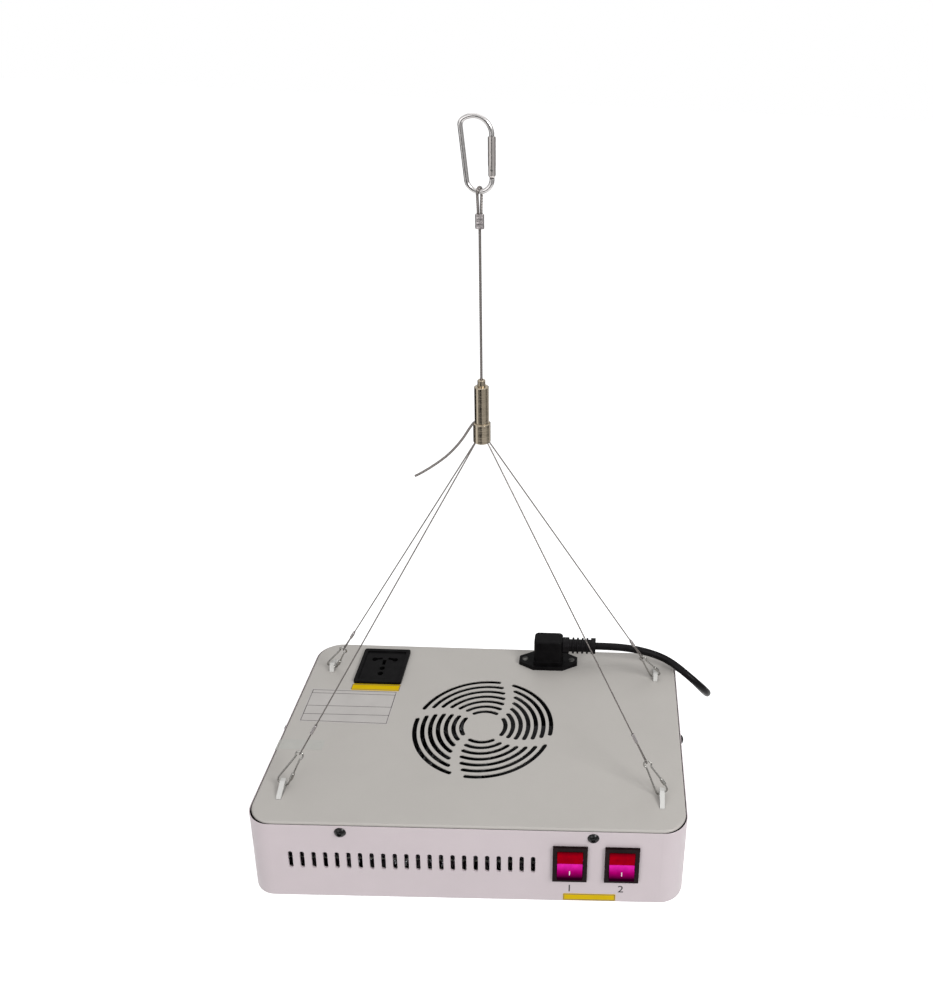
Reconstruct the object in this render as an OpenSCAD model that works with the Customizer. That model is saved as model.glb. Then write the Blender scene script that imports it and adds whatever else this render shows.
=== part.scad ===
// Hanging LED grow light: a fan-cooled sheet casing on four leg wires, a cable gripper and a snap hook.
// The origin is the hang point, on the inside of the snap hook's top bow. +X is right, +Y is rear, +Z is up.

/* [Casing] */
// Width of the casing, left to right
casing_w = 310; // [296:1:340]
// Depth of the casing, front to rear
casing_d = 200; // [198:1:230]
// Height of the casing
casing_h = 66; // [62:1:80]
// Radius of the upright corners
corner_r = 17.5; // [12:0.5:22]
// Thickness of the frame's sheet
frame_t = 1.5; // [1:0.1:2]
// Thickness of the cover's sheet
cover_t = 1.5; // [1:0.1:2]
// Radius of the cover's folded edge
fold_r = 2.5; // [2:0.1:3.5]
// Height of the cover's rim above the seam
rim_h = 4; // [3.6:0.1:5]
// Seam between the cover and the frame
seam = 0.4; // [0.2:0.1:0.8]
// Depth of the cover's skirt inside the frame
skirt_h = 11; // [10:0.5:14]
// Width of the lip that the reflector lies on
lip_w = 6; // [4:0.5:10]
// Gap between parts that fit into each other
fit = 0.2; // [0.1:0.05:0.3]

/* [Vents] */
// Rings of slots in the fan grille
grille_rings = 7; // [4:1:7]
// Width of a grille slot
grille_slot_w = 3; // [2:0.1:4]
// Radius of the innermost ring
grille_r = 18.4; // [16:0.2:20]
// Distance between rings
grille_pitch = 5.9; // [5:0.1:6]
// Metal left between two slots of a ring
grille_bridge = 9; // [6:0.5:12]
// Direction of the first bridge of the innermost ring
swirl_start = 46; // [0:1:89]
// How far the bridges turn from the innermost ring to the outermost
swirl_turn = 26; // [0:1:40]
// Distance between the front slots
vent_pitch = 8.1; // [6:0.1:12]
// Width of a front slot
vent_w = 3.2; // [2:0.1:4]
// Height of the front slots
vent_h = 15; // [8:0.5:20]
// First front slot, from the left side of the casing
vent_side = 31; // [24:1:60]
// Room between the last front slot and the first switch
vent_gap = 13; // [8:1:40]
// Middle of the front vent below the cover
vent_drop = 32.5; // [28:0.5:36]

/* [Screws] */
// Radius of a cover screw's domed head
dome_r = 4.2; // [3:0.1:4.5]
// Height of a cover screw's domed head
dome_h = 2.6; // [1.5:0.1:3]
// Radius of a cover screw's shank
shank_r = 1.9; // [1.5:0.1:2]
// Length of a cover screw's shank
shank_l = 8; // [6:0.5:10]
// Depth of the cover screws below the cover
screw_drop = 6.4; // [6:0.1:8]
// Cover screws on the front and rear, from the sides of the casing
screw_side = 67; // [40:1:90]

/* [Hanging lugs] */
// Lugs from the sides of the casing
lug_side = 18; // [14:0.5:30]
// Front lugs from the front of the casing
lug_front = 34; // [28:0.5:40]
// Rear lugs from the rear of the casing
lug_rear = 34; // [28:0.5:40]
// Width of a lug
lug_t = 3.6; // [3:0.1:4.4]
// Length of a lug along the cover
lug_w = 16; // [15:0.5:18]
// Height of a lug above the cover
lug_h = 5.8; // [5.4:0.1:6.4]
// Half the height of the opening under a lug
lug_hole_r = 2; // [1.9:0.05:2.1]
// Metal between the opening and the top of a lug
lug_top_t = 1.2; // [1:0.05:1.4]
// Thickness of a lug's foot under the cover
foot_t = 1.5; // [1:0.1:2]

/* [Power inlet] */
// Middle of the inlet, from the middle of the casing
inlet_x = 44.5; // [30:0.5:60]
// Middle of the inlet from the rear of the casing
inlet_rear = 17; // [16:0.5:22]
// Width of the inlet's flange
inlet_w = 50; // [48:0.5:52]
// Depth of the inlet's flange
inlet_d = 22; // [21:0.5:24]
// Thickness of the inlet's flange
inlet_t = 3.5; // [2.5:0.1:4]
// Distance between the inlet's screws
inlet_screws_w = 40; // [39:0.5:41]
// Width of the opening that the angle plug fits in
inlet_bay_w = 24.6; // [24:0.1:25]
// Depth of the opening that the angle plug fits in
inlet_bay_d = 16.6; // [16:0.1:17]

/* [Mains lead] */
// Diameter of the lead
lead_d = 6.2; // [5.5:0.1:7]
// Height of the lead's axis above the cover where it leaves the plug
lead_z = 18.6; // [17:0.1:20]
// Width of the angle plug
plug_w = 24.4; // [24:0.1:26]
// Depth of the angle plug
plug_d = 15.6; // [15:0.1:17]
// Top of the angle plug above the cover
plug_top = 26; // [25:0.5:28]
// Length of the strain relief
boot_l = 28.3; // [24:0.1:32]
// Radius of the strain relief
boot_r = 6; // [5:0.1:6.4]
// Thin ribs on the strain relief
boot_ribs = 5; // [3:1:6]

/* [Power outlet] */
// Middle of the outlet from the left side of the casing
outlet_side = 59.3; // [40:0.1:65]
// Middle of the outlet from the rear of the casing
outlet_rear = 30; // [28:0.5:34]
// Width of the outlet's face
outlet_w = 39.4; // [38:0.2:42]
// Depth of the outlet's face
outlet_d = 43.6; // [42:0.2:46]
// Thickness of the outlet's face
outlet_t = 2.4; // [2:0.1:3]
// Depth of the outlet's body below the cover
outlet_body_h = 20; // [16:0.5:24]

/* [Switches] */
// Second switch, from the right side of the casing
switch_side = 46; // [34:0.5:54]
// Distance between the switches
switch_pitch = 36.8; // [34:0.2:38]
// Middle of the switches below the cover
switch_drop = 29.9; // [29:0.1:33]
// Width of a switch's bezel
bezel_w = 24.5; // [24:0.1:26]
// Height of a switch's bezel
bezel_h = 31.6; // [31:0.1:34]
// Thickness of a switch's bezel
bezel_t = 2; // [1.5:0.1:2.5]
// Depth of a switch's body behind the casing
switch_depth = 16; // [14:0.5:17]
// Width of a rocker
rocker_w = 17.9; // [17:0.1:18]
// Half the height of a rocker
rocker_h = 11.2; // [10.6:0.1:11.6]
// Lean of a rocker at rest
rocker_lean = 8; // [6:0.5:11]
// Radius of a rocker's pivot pins
rocker_pin_r = 1.2; // [1:0.05:1.4]

/* [Fan] */
// Side of the fan's square frame
fan_w = 120; // [118:1:120]
// Thickness of the fan
fan_h = 25; // [24:0.5:26]
// Thinnest wall of the fan's frame, beside its round opening
fan_wall = 3; // [2.5:0.1:5]
// Radius of the rotor's hub
hub_r = 19; // [16:0.5:20]
// Number of fan blades
blade_n = 7; // [5:1:9]
// Thickness of a blade
blade_t = 1.4; // [1:0.1:2]
// Pitch of a blade
blade_pitch = 38; // [30:1:42]
// Radius of the rotor's shaft
shaft_r = 1.5; // [1.2:0.1:2]
// Distance of the fan's screws from the edge of its frame
fan_screw_side = 7.5; // [7:0.1:8]
// Gap between the fan and the cover
fan_gap = 4; // [3:0.5:6]

/* [Light engine] */
// Columns of reflector cups
cup_nx = 10; // [6:1:10]
// Rows of reflector cups
cup_ny = 6; // [3:1:6]
// Distance between cups
cup_pitch = 27; // [26:0.5:28]
// Radius of a cup at its mouth
cup_r = 11.6; // [10:0.1:11.8]
// Radius of a cup at the board
cup_top_r = 4.6; // [4.2:0.1:5]
// Depth of a cup
cup_h = 12; // [10:0.5:12.5]
// Thickness of the reflector's wall
cup_t = 1; // [0.8:0.1:1.2]
// Thickness of the LED board
board_t = 1.6; // [1.2:0.1:2]
// Thickness of the heat sink's base
sink_t = 4; // [3:0.5:5]
// Thickness of a fin
fin_t = 2; // [1.5:0.1:2.5]
// Distance between fins
fin_pitch = 6; // [5:0.5:8]
// Radius of an LED's lens
led_r = 3.6; // [3:0.1:3.8]
// Height of an LED's lens
led_h = 3.4; // [2.5:0.1:3.6]

/* [Drivers] */
// Width of a driver
driver_w = 64; // [50:1:66]
// Depth of a driver
driver_d = 80; // [60:1:84]
// Height of a driver
driver_h = 22; // [18:0.5:24]
// Length of a driver's mounting ears
ear_l = 7; // [5:0.5:9]
// Gap between a driver and the fan
driver_gap = 12; // [6:0.5:13]
// Left driver in front of the middle of the fan
left_driver_y = 34; // [20:1:40]
// Right driver behind the middle of the fan
right_driver_y = 6; // [0:1:10]

/* [Snap hook] */
// Diameter of the hook's rod
rod_d = 3.2; // [2.8:0.1:3.6]
// Radius of the corner beside the top bow
bow_corner_r = 4.5; // [4:0.5:5]
// Radius of the lower bow
bow_low_r = 8; // [7.5:0.1:8.4]
// Length of the straight back
hook_back = 33.3; // [31:0.1:37]
// Lean of the straight back
hook_lean = 6; // [4:0.5:7]
// Radius of the gate
gate_r = 2.5; // [2.2:0.1:2.7]
// Gate pivot above the middle of the lower bow
gate_rise = 6; // [5.6:0.1:7]
// Radius of the gate's rivet
rivet_r = 0.8; // [0.6:0.05:1]

/* [Main cable] */
// Diameter of the main cable
cable_d = 1.8; // [1.4:0.1:2]
// From the lower bow to the ferrule
eye_l = 14.1; // [12:0.1:18]
// Length of the ferrule
ferrule_l = 9.7; // [8:0.1:12]
// Length of cable between the ferrule and the gripper
cable_run = 103.7; // [95:1:140]

/* [Gripper] */
// Radius of the release plunger
nub_r = 2.7; // [2.5:0.05:2.9]
// Height of the release plunger above the barrel
nub_h = 4.8; // [4.5:0.1:6]
// Radius of the barrel
barrel_r = 4.95; // [4.8:0.05:5.2]
// Length of the barrel above the collar
barrel_l = 26.9; // [25:0.1:30]
// Radius of the collar
collar_r = 6; // [5.8:0.1:6.5]
// Length of the collar
collar_l = 14.8; // [13:0.1:18]
// Radius of a gripping ball
ball_r = 1; // [0.9:0.05:1.1]

/* [Leg wires] */
// Height of the gripper's lower end above the cover
hub_rise = 249.5; // [230:1:300]
// Diameter of a leg wire
leg_d = 1; // [0.8:0.1:1.2]
// Where the leg wires leave the collar, from its axis
leg_exit_r = 4.6; // [4.2:0.1:4.8]
// Diameter of the clip's spring wire
clip_d = 1.3; // [1:0.1:1.4]
// Width of a clip at its lower bend
clip_w = 9.5; // [9:0.1:10.5]
// Length of a clip from its lower bend to the middle of its eye
clip_l = 24.5; // [22:0.5:28]
// Radius of a clip's eye
clip_eye_r = 2.8; // [2.6:0.1:3.2]
// Length of a leg wire's loop
loop_l = 19; // [16:0.5:24]
// Length of a leg wire's ferrule
crimp_l = 7; // [5:0.5:9]

/* [Hidden] */
$fn = 48;
wire_sides = 8;
rod_sides = 14;
lead_sides = 10;
cut = 1;
touch = 0.05;
body_gap = 0.3;

// The hook's bows, as points in its own plane, with the load line at x = 0
function polar(r, a) = [r * cos(a), r * sin(a)];
rod_r = rod_d / 2;
corner_a = 126;
back_x = (bow_low_r - bow_corner_r) * cos(hook_lean) + hook_back * sin(hook_lean);
bow_top_r = (bow_low_r + back_x - bow_corner_r * cos(corner_a)) / (1 - cos(corner_a));
corner_from_top = polar(bow_top_r - bow_corner_r, corner_a);
back_run = hook_back * [sin(hook_lean), -cos(hook_lean)];
low_from_corner = polar(bow_corner_r - bow_low_r, 180 + hook_lean) + back_run;
top_x = -(corner_from_top.x + low_from_corner.x);
top_c = [top_x, -sqrt(pow(bow_top_r - rod_r, 2) - pow(top_x, 2))];
corner_c = top_c + corner_from_top;
low_c = corner_c + low_from_corner;
nose_l = 0.8;
gate_pivot = [bow_low_r, low_c.y + gate_rise];
gate_top_z = top_c.y - nose_l - body_gap;
tongue_t = 1.8;
tongue_r = rod_r * 0.9;
fork_l = gate_rise - 0.5;
rivet_l = 2 * gate_r + 0.4;

// Heights along the suspension
bow_z = low_c.y - bow_low_r;
ferrule_top = bow_z - eye_l;
ferrule_bottom = ferrule_top - ferrule_l;
nub_top = ferrule_bottom - cable_run;
barrel_top = nub_top - nub_h;
collar_top = barrel_top - barrel_l;
hub_z = collar_top - collar_l;
drop = hub_rise - hub_z;

// Cable eye, ferrule and gripper
cable_r = cable_d / 2;
ferrule_r = 1.75;
ferrule_half = 1.1;
half_wire = ferrule_half - 0.1;
eye_r = rod_r + cable_r + body_gap + touch;
bore_r = cable_r + body_gap;
stem_gap = 0.08;
lip_l = 2.2;
chamfer = 0.6;
cavity_r = 3.6;
seat_r = 3;
spigot_r = 4.4;
spigot_l = 6;
cone_h = 5;
cone_bottom = collar_top + 4;
cone_top = cone_bottom + cone_h;
flange_r = 3.4;
flange_t = 1.5;
sleeve_r = 2.5;
plunger_travel = 3;
port_r = cable_r + 0.2;
port_slope = 31;
port_z = collar_top + 3.1;
notch_from = [-3.4, 0, collar_top + 1.3];
notch_to = [-9, 0, collar_top - 5];
cable_end = collar_top + 3;
ball_c = cable_r + ball_r + touch;
cone_run = norm([seat_r - bore_r, cone_h]);
ball_lift = ((ball_r + touch) * cone_run + (ball_c - bore_r) * cone_h) / (seat_r - bore_r);
ball_z = cone_bottom + ball_lift;
sleeve_bottom = ball_z + ball_r + body_gap + plunger_travel;
spring_wire_r = 0.25;
spring_r = (cavity_r + seat_r) / 2;
spring_turns = 5;
spring_top = barrel_top - lip_l - flange_t;

// Free end of the main cable, from the port in the barrel
tail_route = [
  [-1.9, 0, 1.95], [-3.4, 0, 1.05], [-5, 0, -0.1], [-6.3, 0, -1.5], [-7.5, 0, -3.2], [-9.6, 0, -6.7],
  [-13.2, 0, -12.7], [-17.8, 0, -19], [-23, 0, -25], [-29, 0, -30.5], [-36, 0, -36], [-43, 0, -40.8],
  [-47.3, 0, -43.4]
];

// Mains lead, from the end of the strain relief to the top of its coil behind the casing
lead_route = [
  [0, 0, 0], [12, 0, 0], [23, 0, -0.5], [34, -0.3, -1.8], [45, -0.9, -4], [56, -1.8, -7.2],
  [64.7, -3.9, -10.6], [72.5, -8.3, -13.8], [80.1, -12.6, -17.8], [87.4, -14.2, -23.6],
  [93.8, -12.9, -30.6], [98.3, -8.8, -38], [100.4, -2.5, -44.8], [100, 5.4, -50.2], [98.4, 13.8, -54.5],
  [96.6, 22.4, -58.2], [93.8, 31.2, -60.9], [89.7, 39.7, -62.5], [84.6, 47.8, -63], [78.2, 54.7, -62],
  [70.4, 59.7, -59.5], [62.1, 62.4, -55.7], [53.2, 63.1, -52.1], [43.7, 63.1, -51.6],
  [34.6, 62.3, -54.3], [26.7, 61.1, -59.6], [18.6, 59.7, -64.4], [10, 58.3, -68.5], [1.2, 57.1, -71.9],
  [-8.3, 56.8, -72.4], [-17.9, 56.8, -72.4]
];
lead_layer = lead_d + 0.2;
coil_turn_r = 39.5;
coil_from_lead = lead_route[len(lead_route) - 1] - [0, 0, coil_turn_r];
coil_out_r = coil_turn_r + lead_layer / 2;
coil_in_r = coil_out_r - 2 * lead_layer;
coil_t = 3 * lead_layer;
tie_a = 135;
tie_w = 6;
tie_t = 0.9;
end_drop = 30;
end_plug_w = 24;
end_plug_d = 20;
end_plug_l = 26;
end_boot_l = 18;
end_boot_r = 5.2;
stub_drop = sqrt(pow(coil_out_r + body_gap, 2) - pow(coil_turn_r - lead_d / 2, 2));

// Places on the casing, from the middle of the cover
casing_back = (lug_rear - lug_front) / 2;
lug_x = casing_w / 2 - lug_side;
lug_y = (casing_d - lug_front - lug_rear) / 2;
screw_x = casing_w / 2 - screw_side;
inlet_y = casing_d / 2 - inlet_rear;
outlet_x = casing_w / 2 - outlet_side;
outlet_y = casing_d / 2 - outlet_rear;
switch_x = casing_w / 2 - switch_side - switch_pitch;
front_y = -casing_d / 2;
vent_x = vent_side - casing_w / 2;
vent_n = floor((switch_x - bezel_w / 2 - vent_gap - vent_x) / vent_pitch) + 1;
lead_from = [inlet_x + plug_w / 2 + boot_l, inlet_y, lead_z];

// Casing levels, from the cover's top
skirt_w = casing_w - 2 * (frame_t + fit);
skirt_d = casing_d - 2 * (frame_t + fit);
skirt_r = corner_r - frame_t - fit;
lip_z = -casing_h + frame_t;
cup_top_z = lip_z + cup_t + cup_h;
sink_z = cup_top_z + board_t;
fin_z = sink_z + sink_t;
fan_z = -cover_t - fan_gap - fan_h;
fin_h = fan_z - fin_z;
panel_w = casing_w - 2 * (frame_t + fit);
panel_d = casing_d - 2 * (frame_t + fit);
board_w = (cup_nx - 1) * cup_pitch + 2 * (cup_r + cup_t) + 2;
board_d = (cup_ny - 1) * cup_pitch + 2 * (cup_r + cup_t) + 2;
boss_r = 3;
boss_hole_r = 1.5;
boss_x = 2 * cup_pitch;
boss_y = 2 * cup_pitch;
boss_head_r = 2.6;
bearing_r = 4.5;
strut_w = 5;
strut_t = 3;
fan_r = fan_w / 2 - fan_wall;
fan_screws_w = fan_w - 2 * fan_screw_side;
blade_r = fan_r - 1;
fan_hole_r = 2.2;
driver_x = fan_w / 2 + driver_gap + driver_w / 2;

// Inlet, angle plug and outlet
inlet_body_wall = 1.2;
inlet_body_w = inlet_bay_w + 2 * inlet_body_wall;
inlet_body_d = inlet_bay_d + 2 * inlet_body_wall;
inlet_body_h = 20;
inlet_floor_t = 2;
inlet_hole_r = 1.7;
pin_w = 4;
pin_t = 2;
pin_l = 11;
pin_pitch = 7;
pin_back = 2.5;
nose_gap = 0.3;
nose_depth = 13.5;
plug_gap = 2;
plug_round = 3.6;
plug_fold = 1.6;
outlet_lip = 2;
outlet_in_w = outlet_w - 2 * outlet_lip;
outlet_in_d = outlet_d - 2 * outlet_lip;

// Switches
switch_wall = 1.6;
window_w = rocker_w + 2 * body_gap;
window_h = 2 * (rocker_h * cos(rocker_lean) + 7.5 * sin(rocker_lean)) + 2 * body_gap;
switch_body_w = window_w + 2 * switch_wall;
switch_body_h = window_h + 2 * switch_wall;
rocker_valley = 5;
rocker_edge = 7.5;
rocker_back = 2.4;
pivot_in = rocker_edge * cos(rocker_lean) - rocker_h * sin(rocker_lean) - bezel_t - 0.5;
pin_reach = 1.2;

// The four corners, in the order of the names
corners = [[-1, -1], [1, -1], [-1, 1], [1, 1]];
lug_hole_z = lug_h - lug_top_t - lug_hole_r;
lug_in = 4;
lug_out = lug_w - lug_in;
lug_foot_w = 10;
lug_wall = 1.3;
lug_ramp_wall = 2.7;
leg_lean = asin(abs(leg_dir(corners[0]).x));
wire_lift = (lug_hole_r - 0.1 - lug_t / 2 * tan(leg_lean)) * cos(leg_lean) - clip_d / 2;
clip_shift = 0.8;
eye_z = wire_lift + clip_l;
loop_r = leg_d / 2 + clip_d / 2 + 0.4;
crimp_r = 1.05;
crimp_half = 0.55;

// Points, paths and swept wires
function unit(v) = v / norm(v);
function tangents(p) = [for (i = [0:len(p) - 1]) unit(p[min(i + 1, len(p) - 1)] - p[max(i - 1, 0)])];
function square_to(v, t) = unit(v - (v * t) * t);
function start_side(t) = abs(t.x) < 0.7 ? [1, 0, 0] : [0, 1, 0];
function carried(t, i, side) =
  i == len(t) ? [] : let (s = square_to(side, t[i])) concat([s], carried(t, i + 1, s));

// A round wire or cord that follows a path
module swept(path, r, sides) {
  t = tangents(path);
  s = carried(t, 0, start_side(t[0]));
  n = len(path);
  points = [
    for (i = [0:n - 1], k = [0:sides - 1])
      path[i] + r * (cos(360 * k / sides) * s[i] + sin(360 * k / sides) * cross(t[i], s[i]))
  ];
  walls = [
    for (i = [0:n - 2], k = [0:sides - 1], half = [0, 1])
      let (a = i * sides + k, b = i * sides + (k + 1) % sides)
        half == 0 ? [a, a + sides, b] : [b, a + sides, b + sides]
  ];
  first_end = [for (k = [0:sides - 1]) k];
  last_end = [for (k = [sides - 1:-1:0]) (n - 1) * sides + k];
  polyhedron(points, concat([first_end], walls, [last_end]));
}

// A straight round rod between two points
module rod(p, q, r) {
  v = q - p;
  translate(p) rotate([0, acos(v.z / norm(v)), atan2(v.y, v.x)]) cylinder(h = norm(v), r = r);
}

// A bend of round rod in the XZ plane, from angle a0 to a1 about c
module bend(c, radius, a0, a1, r) {
  translate([c.x, 0, c.y]) rotate([90, 0, 0]) rotate([0, 0, a0])
    rotate_extrude(angle = a1 - a0) translate([radius, 0]) circle(r);
}

// A block with round upright corners, standing on z = 0
module rounded_slab(w, d, h, r) {
  translate([-w / 2 + r, -d / 2, 0]) cube([w - 2 * r, d, h]);
  translate([-w / 2, -d / 2 + r, 0]) cube([w, d - 2 * r, h]);
  for (sx = [-1, 1], sy = [-1, 1])
    translate([sx * (w / 2 - r), sy * (d / 2 - r), 0]) cylinder(h = h, r = r);
}

// The section of a folded edge
module quarter(r) {
  intersection() {
    circle(r);
    square(r);
  }
}

// A rounded slab whose top edge is folded over with a radius, with its top at z = 0
module folded_slab(w, d, h, r, fold) {
  long = [w, d];
  translate([0, 0, -h]) rounded_slab(w, d, h - fold, r);
  translate([0, 0, -fold]) rounded_slab(w - 2 * fold, d - 2 * fold, fold, r - fold);
  for (i = [0:3]) {
    half = long[1 - i % 2] / 2;
    run = long[i % 2] - 2 * r;
    rotate([0, 0, 90 * i]) translate([run / 2, -half + fold, -fold]) rotate([90, 0, -90])
      linear_extrude(run) quarter(fold);
    rotate([0, 0, 90 * i]) translate([run / 2, half - r, -fold])
      rotate_extrude(angle = 90) translate([r - fold, 0]) quarter(fold);
  }
}

// A straight slot with round ends, upright in the XZ plane, cut through along Y
module upright_slot(w, h, depth) {
  translate([-w / 2, -depth / 2, -(h - w) / 2]) cube([w, depth, h - w]);
  for (sz = [-1, 1])
    translate([0, depth / 2, sz * (h - w) / 2]) rotate([90, 0, 0]) cylinder(h = depth, r = w / 2);
}

// A curved slot with round ends, about the middle of the grille
module arc_slot(radius, a0, a1, w, depth) {
  rotate([0, 0, a0]) rotate_extrude(angle = a1 - a0, $fn = 96)
    translate([radius - w / 2, -depth]) square([w, 2 * depth]);
  for (a = [a0, a1])
    rotate([0, 0, a]) translate([radius, 0, -depth]) cylinder(h = 2 * depth, r = w / 2 - touch / 2);
}

// Puts a part at the middle of the cover's top
module in_casing() {
  translate([0, casing_back, -drop]) children();
}

// Puts a screw's axis at each cover screw, with +Z pointing out of the casing
module at_cover_screws() {
  for (sx = [-1, 1], sy = [-1, 1])
    translate([sx * screw_x, sy * casing_d / 2, -screw_drop]) rotate([sy > 0 ? -90 : 90, 0, 0]) children();
  for (sx = [-1, 1])
    translate([sx * casing_w / 2, 0, -screw_drop]) rotate([0, sx * 90, 0]) children();
}

// Puts a part at each lug's place on the cover, with +Y away from the middle
module at_lugs() {
  for (c = corners)
    translate([c.x * lug_x, c.y * lug_y - casing_back, 0]) rotate([0, 0, c.y < 0 ? 180 : 0]) children();
}

// Where a leg wire leaves the collar and where its clip hangs in the lug
function leg_foot(c) = [c.x * lug_x, c.y * lug_y, lug_hole_z - drop];
function leg_head(c) =
  let (a = atan2(c.y * lug_y, c.x * lug_x))
  [leg_exit_r * cos(a), leg_exit_r * sin(a), hub_z];
function leg_dir(c) = unit(leg_head(c) - leg_foot(c));
function leg_span(c) = norm(leg_head(c) - leg_foot(c));

// Puts a part in the lug's hole, with +Z along the leg wire and +X as level as it can be
module along_leg(c) {
  u = leg_dir(c);
  a = atan2(u.y, u.x);
  b = acos(u.z);
  translate(leg_foot(c)) rotate([0, 0, a]) rotate([0, b, 0])
    rotate([0, 0, atan2(-sin(a), cos(a) * cos(b))]) children();
}

module housing_frame() {
  h = casing_h - rim_h - seam;
  lip_r = corner_r - frame_t;
  color("white") in_casing() difference() {
    translate([0, 0, -casing_h]) rounded_slab(casing_w, casing_d, h, corner_r);
    translate([0, 0, lip_z]) rounded_slab(casing_w - 2 * frame_t, casing_d - 2 * frame_t, h, lip_r);
    translate([0, 0, -casing_h - cut])
      rounded_slab(casing_w - 2 * (frame_t + lip_w), casing_d - 2 * (frame_t + lip_w), h, lip_r - lip_w);
    for (i = [0:vent_n - 1])
      translate([vent_x + i * vent_pitch, front_y, -vent_drop])
        upright_slot(vent_w, vent_h, 4 * frame_t);
    for (i = [0, 1])
      translate([switch_x + i * switch_pitch, front_y - cut, -switch_drop])
      translate([-switch_body_w / 2 - fit, 0, -switch_body_h / 2 - fit])
        cube([switch_body_w + 2 * fit, frame_t + 2 * cut, switch_body_h + 2 * fit]);
    at_cover_screws() translate([0, 0, -2 * frame_t]) cylinder(h = 4 * frame_t, r = shank_r + fit);
  }
}

module top_cover() {
  hollow_h = rim_h + skirt_h - cover_t;
  color("darkgray") in_casing() difference() {
    union() {
      folded_slab(casing_w, casing_d, rim_h, corner_r, fold_r);
      translate([0, 0, -rim_h - skirt_h]) rounded_slab(skirt_w, skirt_d, skirt_h, skirt_r);
    }
    translate([0, 0, -rim_h - skirt_h - cut])
      rounded_slab(skirt_w - 2 * cover_t, skirt_d - 2 * cover_t, hollow_h + cut, skirt_r - cover_t);
    for (k = [0:grille_rings - 1], quarter = [0:3]) {
      radius = grille_r + k * grille_pitch;
      bridge_a = swirl_start + swirl_turn * k / (grille_rings - 1) + 90 * quarter;
      half_a = asin((grille_bridge + grille_slot_w) / 2 / radius);
      arc_slot(radius, bridge_a + half_a, bridge_a + 90 - half_a, grille_slot_w, 2 * cover_t);
    }
    translate([-outlet_x, outlet_y, -2 * cover_t])
      rounded_slab(outlet_in_w + 2 * fit, outlet_in_d + 2 * fit, 4 * cover_t, outlet_lip);
    translate([inlet_x - inlet_body_w / 2 - fit, inlet_y - inlet_body_d / 2 - fit, -2 * cover_t])
      cube([inlet_body_w + 2 * fit, inlet_body_d + 2 * fit, 4 * cover_t]);
    for (sx = [-1, 1])
      translate([inlet_x + sx * inlet_screws_w / 2, inlet_y, -2 * cover_t])
        cylinder(h = 4 * cover_t, r = inlet_hole_r);
    at_lugs() translate([-lug_t / 2 - fit, -lug_in - fit, -2 * cover_t])
      cube([lug_t + 2 * fit, lug_w + 2 * fit, 4 * cover_t]);
    at_cover_screws() translate([0, 0, -2 * shank_l]) cylinder(h = 2 * shank_l + cut, r = shank_r + touch);
    for (i = [0, 1])
      translate([switch_x + i * switch_pitch, front_y, -switch_drop])
      translate([-switch_body_w / 2 - cut, 0, -switch_body_h / 2 - cut])
        cube([switch_body_w + 2 * cut, switch_depth + cut, switch_body_h + 2 * cut]);
  }
}

module dome_screw(head_r, head_h, r, l) {
  ball = (head_r * head_r + head_h * head_h) / (2 * head_h);
  difference() {
    union() {
      intersection() {
        translate([0, 0, head_h - ball]) sphere(ball);
        cylinder(h = head_h, r = head_r);
      }
      translate([0, 0, -l]) cylinder(h = l + head_h / 2, r = r);
    }
    translate([0, 0, head_h / 2]) cylinder(h = head_h, r = head_r * 0.4, $fn = 6);
  }
}

module cover_screws() {
  color("black") in_casing() at_cover_screws() dome_screw(dome_r, dome_h, shank_r, shank_l);
}

module hanging_lugs() {
  roof = lug_h - lug_top_t;
  color("white") in_casing() at_lugs() {
    translate([-lug_t / 2, 0, 0]) rotate([90, 0, 90]) linear_extrude(lug_t)
      polygon([
        [-lug_in, -cover_t - foot_t / 2], [-lug_in, 0.3], [-lug_in + 1.7, lug_h],
        [0.8, lug_h], [lug_out, 0.3], [lug_out, -cover_t - foot_t / 2],
        [lug_out - lug_ramp_wall, -cover_t - foot_t / 2], [lug_out - lug_ramp_wall, 0],
        [0.5, roof], [-lug_in + 2.7, roof],
        [-lug_in + lug_wall, 0], [-lug_in + lug_wall, -cover_t - foot_t / 2],
      ]);
    translate([-lug_foot_w / 2, -lug_in - foot_t, -cover_t - foot_t])
      cube([lug_foot_w, lug_w + 2 * foot_t, foot_t]);
  }
}

module inlet_outline() {
  tip = inlet_d / 6;
  flat = inlet_w / 4;
  polygon([
    for (s = [[-1, -1], [1, -1], [1, 1], [-1, 1]], first = [0, 1])
      (first == 0) == (s.x * s.y > 0)
        ? [s.x * inlet_w / 2, s.y * tip]
        : [s.x * flat, s.y * inlet_d / 2]
  ]);
}

module inlet_socket() {
  color("dimgray") in_casing() translate([inlet_x, inlet_y, 0]) difference() {
    union() {
      linear_extrude(inlet_t) inlet_outline();
      translate([-inlet_body_w / 2, -inlet_body_d / 2, -inlet_body_h])
        cube([inlet_body_w, inlet_body_d, inlet_body_h + inlet_t / 2]);
    }
    translate([-inlet_bay_w / 2, -inlet_bay_d / 2, inlet_floor_t - inlet_body_h])
      cube([inlet_bay_w, inlet_bay_d, inlet_body_h + inlet_t]);
    for (sx = [-1, 1])
      translate([sx * inlet_screws_w / 2, 0, -cut]) cylinder(h = inlet_t + 2 * cut, r = inlet_hole_r);
  }
}

// The inlet's three blades, or the holes for them
module blades(grow) {
  for (i = [-1:1])
    translate([i * pin_pitch - pin_t / 2 - grow, (i == 0 ? -1 : 1) * pin_back - pin_w / 2 - grow, 0])
      cube([pin_t + 2 * grow, pin_w + 2 * grow, pin_l + grow]);
}

module inlet_pins() {
  color("gold") in_casing() translate([inlet_x, inlet_y, inlet_floor_t - inlet_body_h]) blades(0);
}

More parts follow.
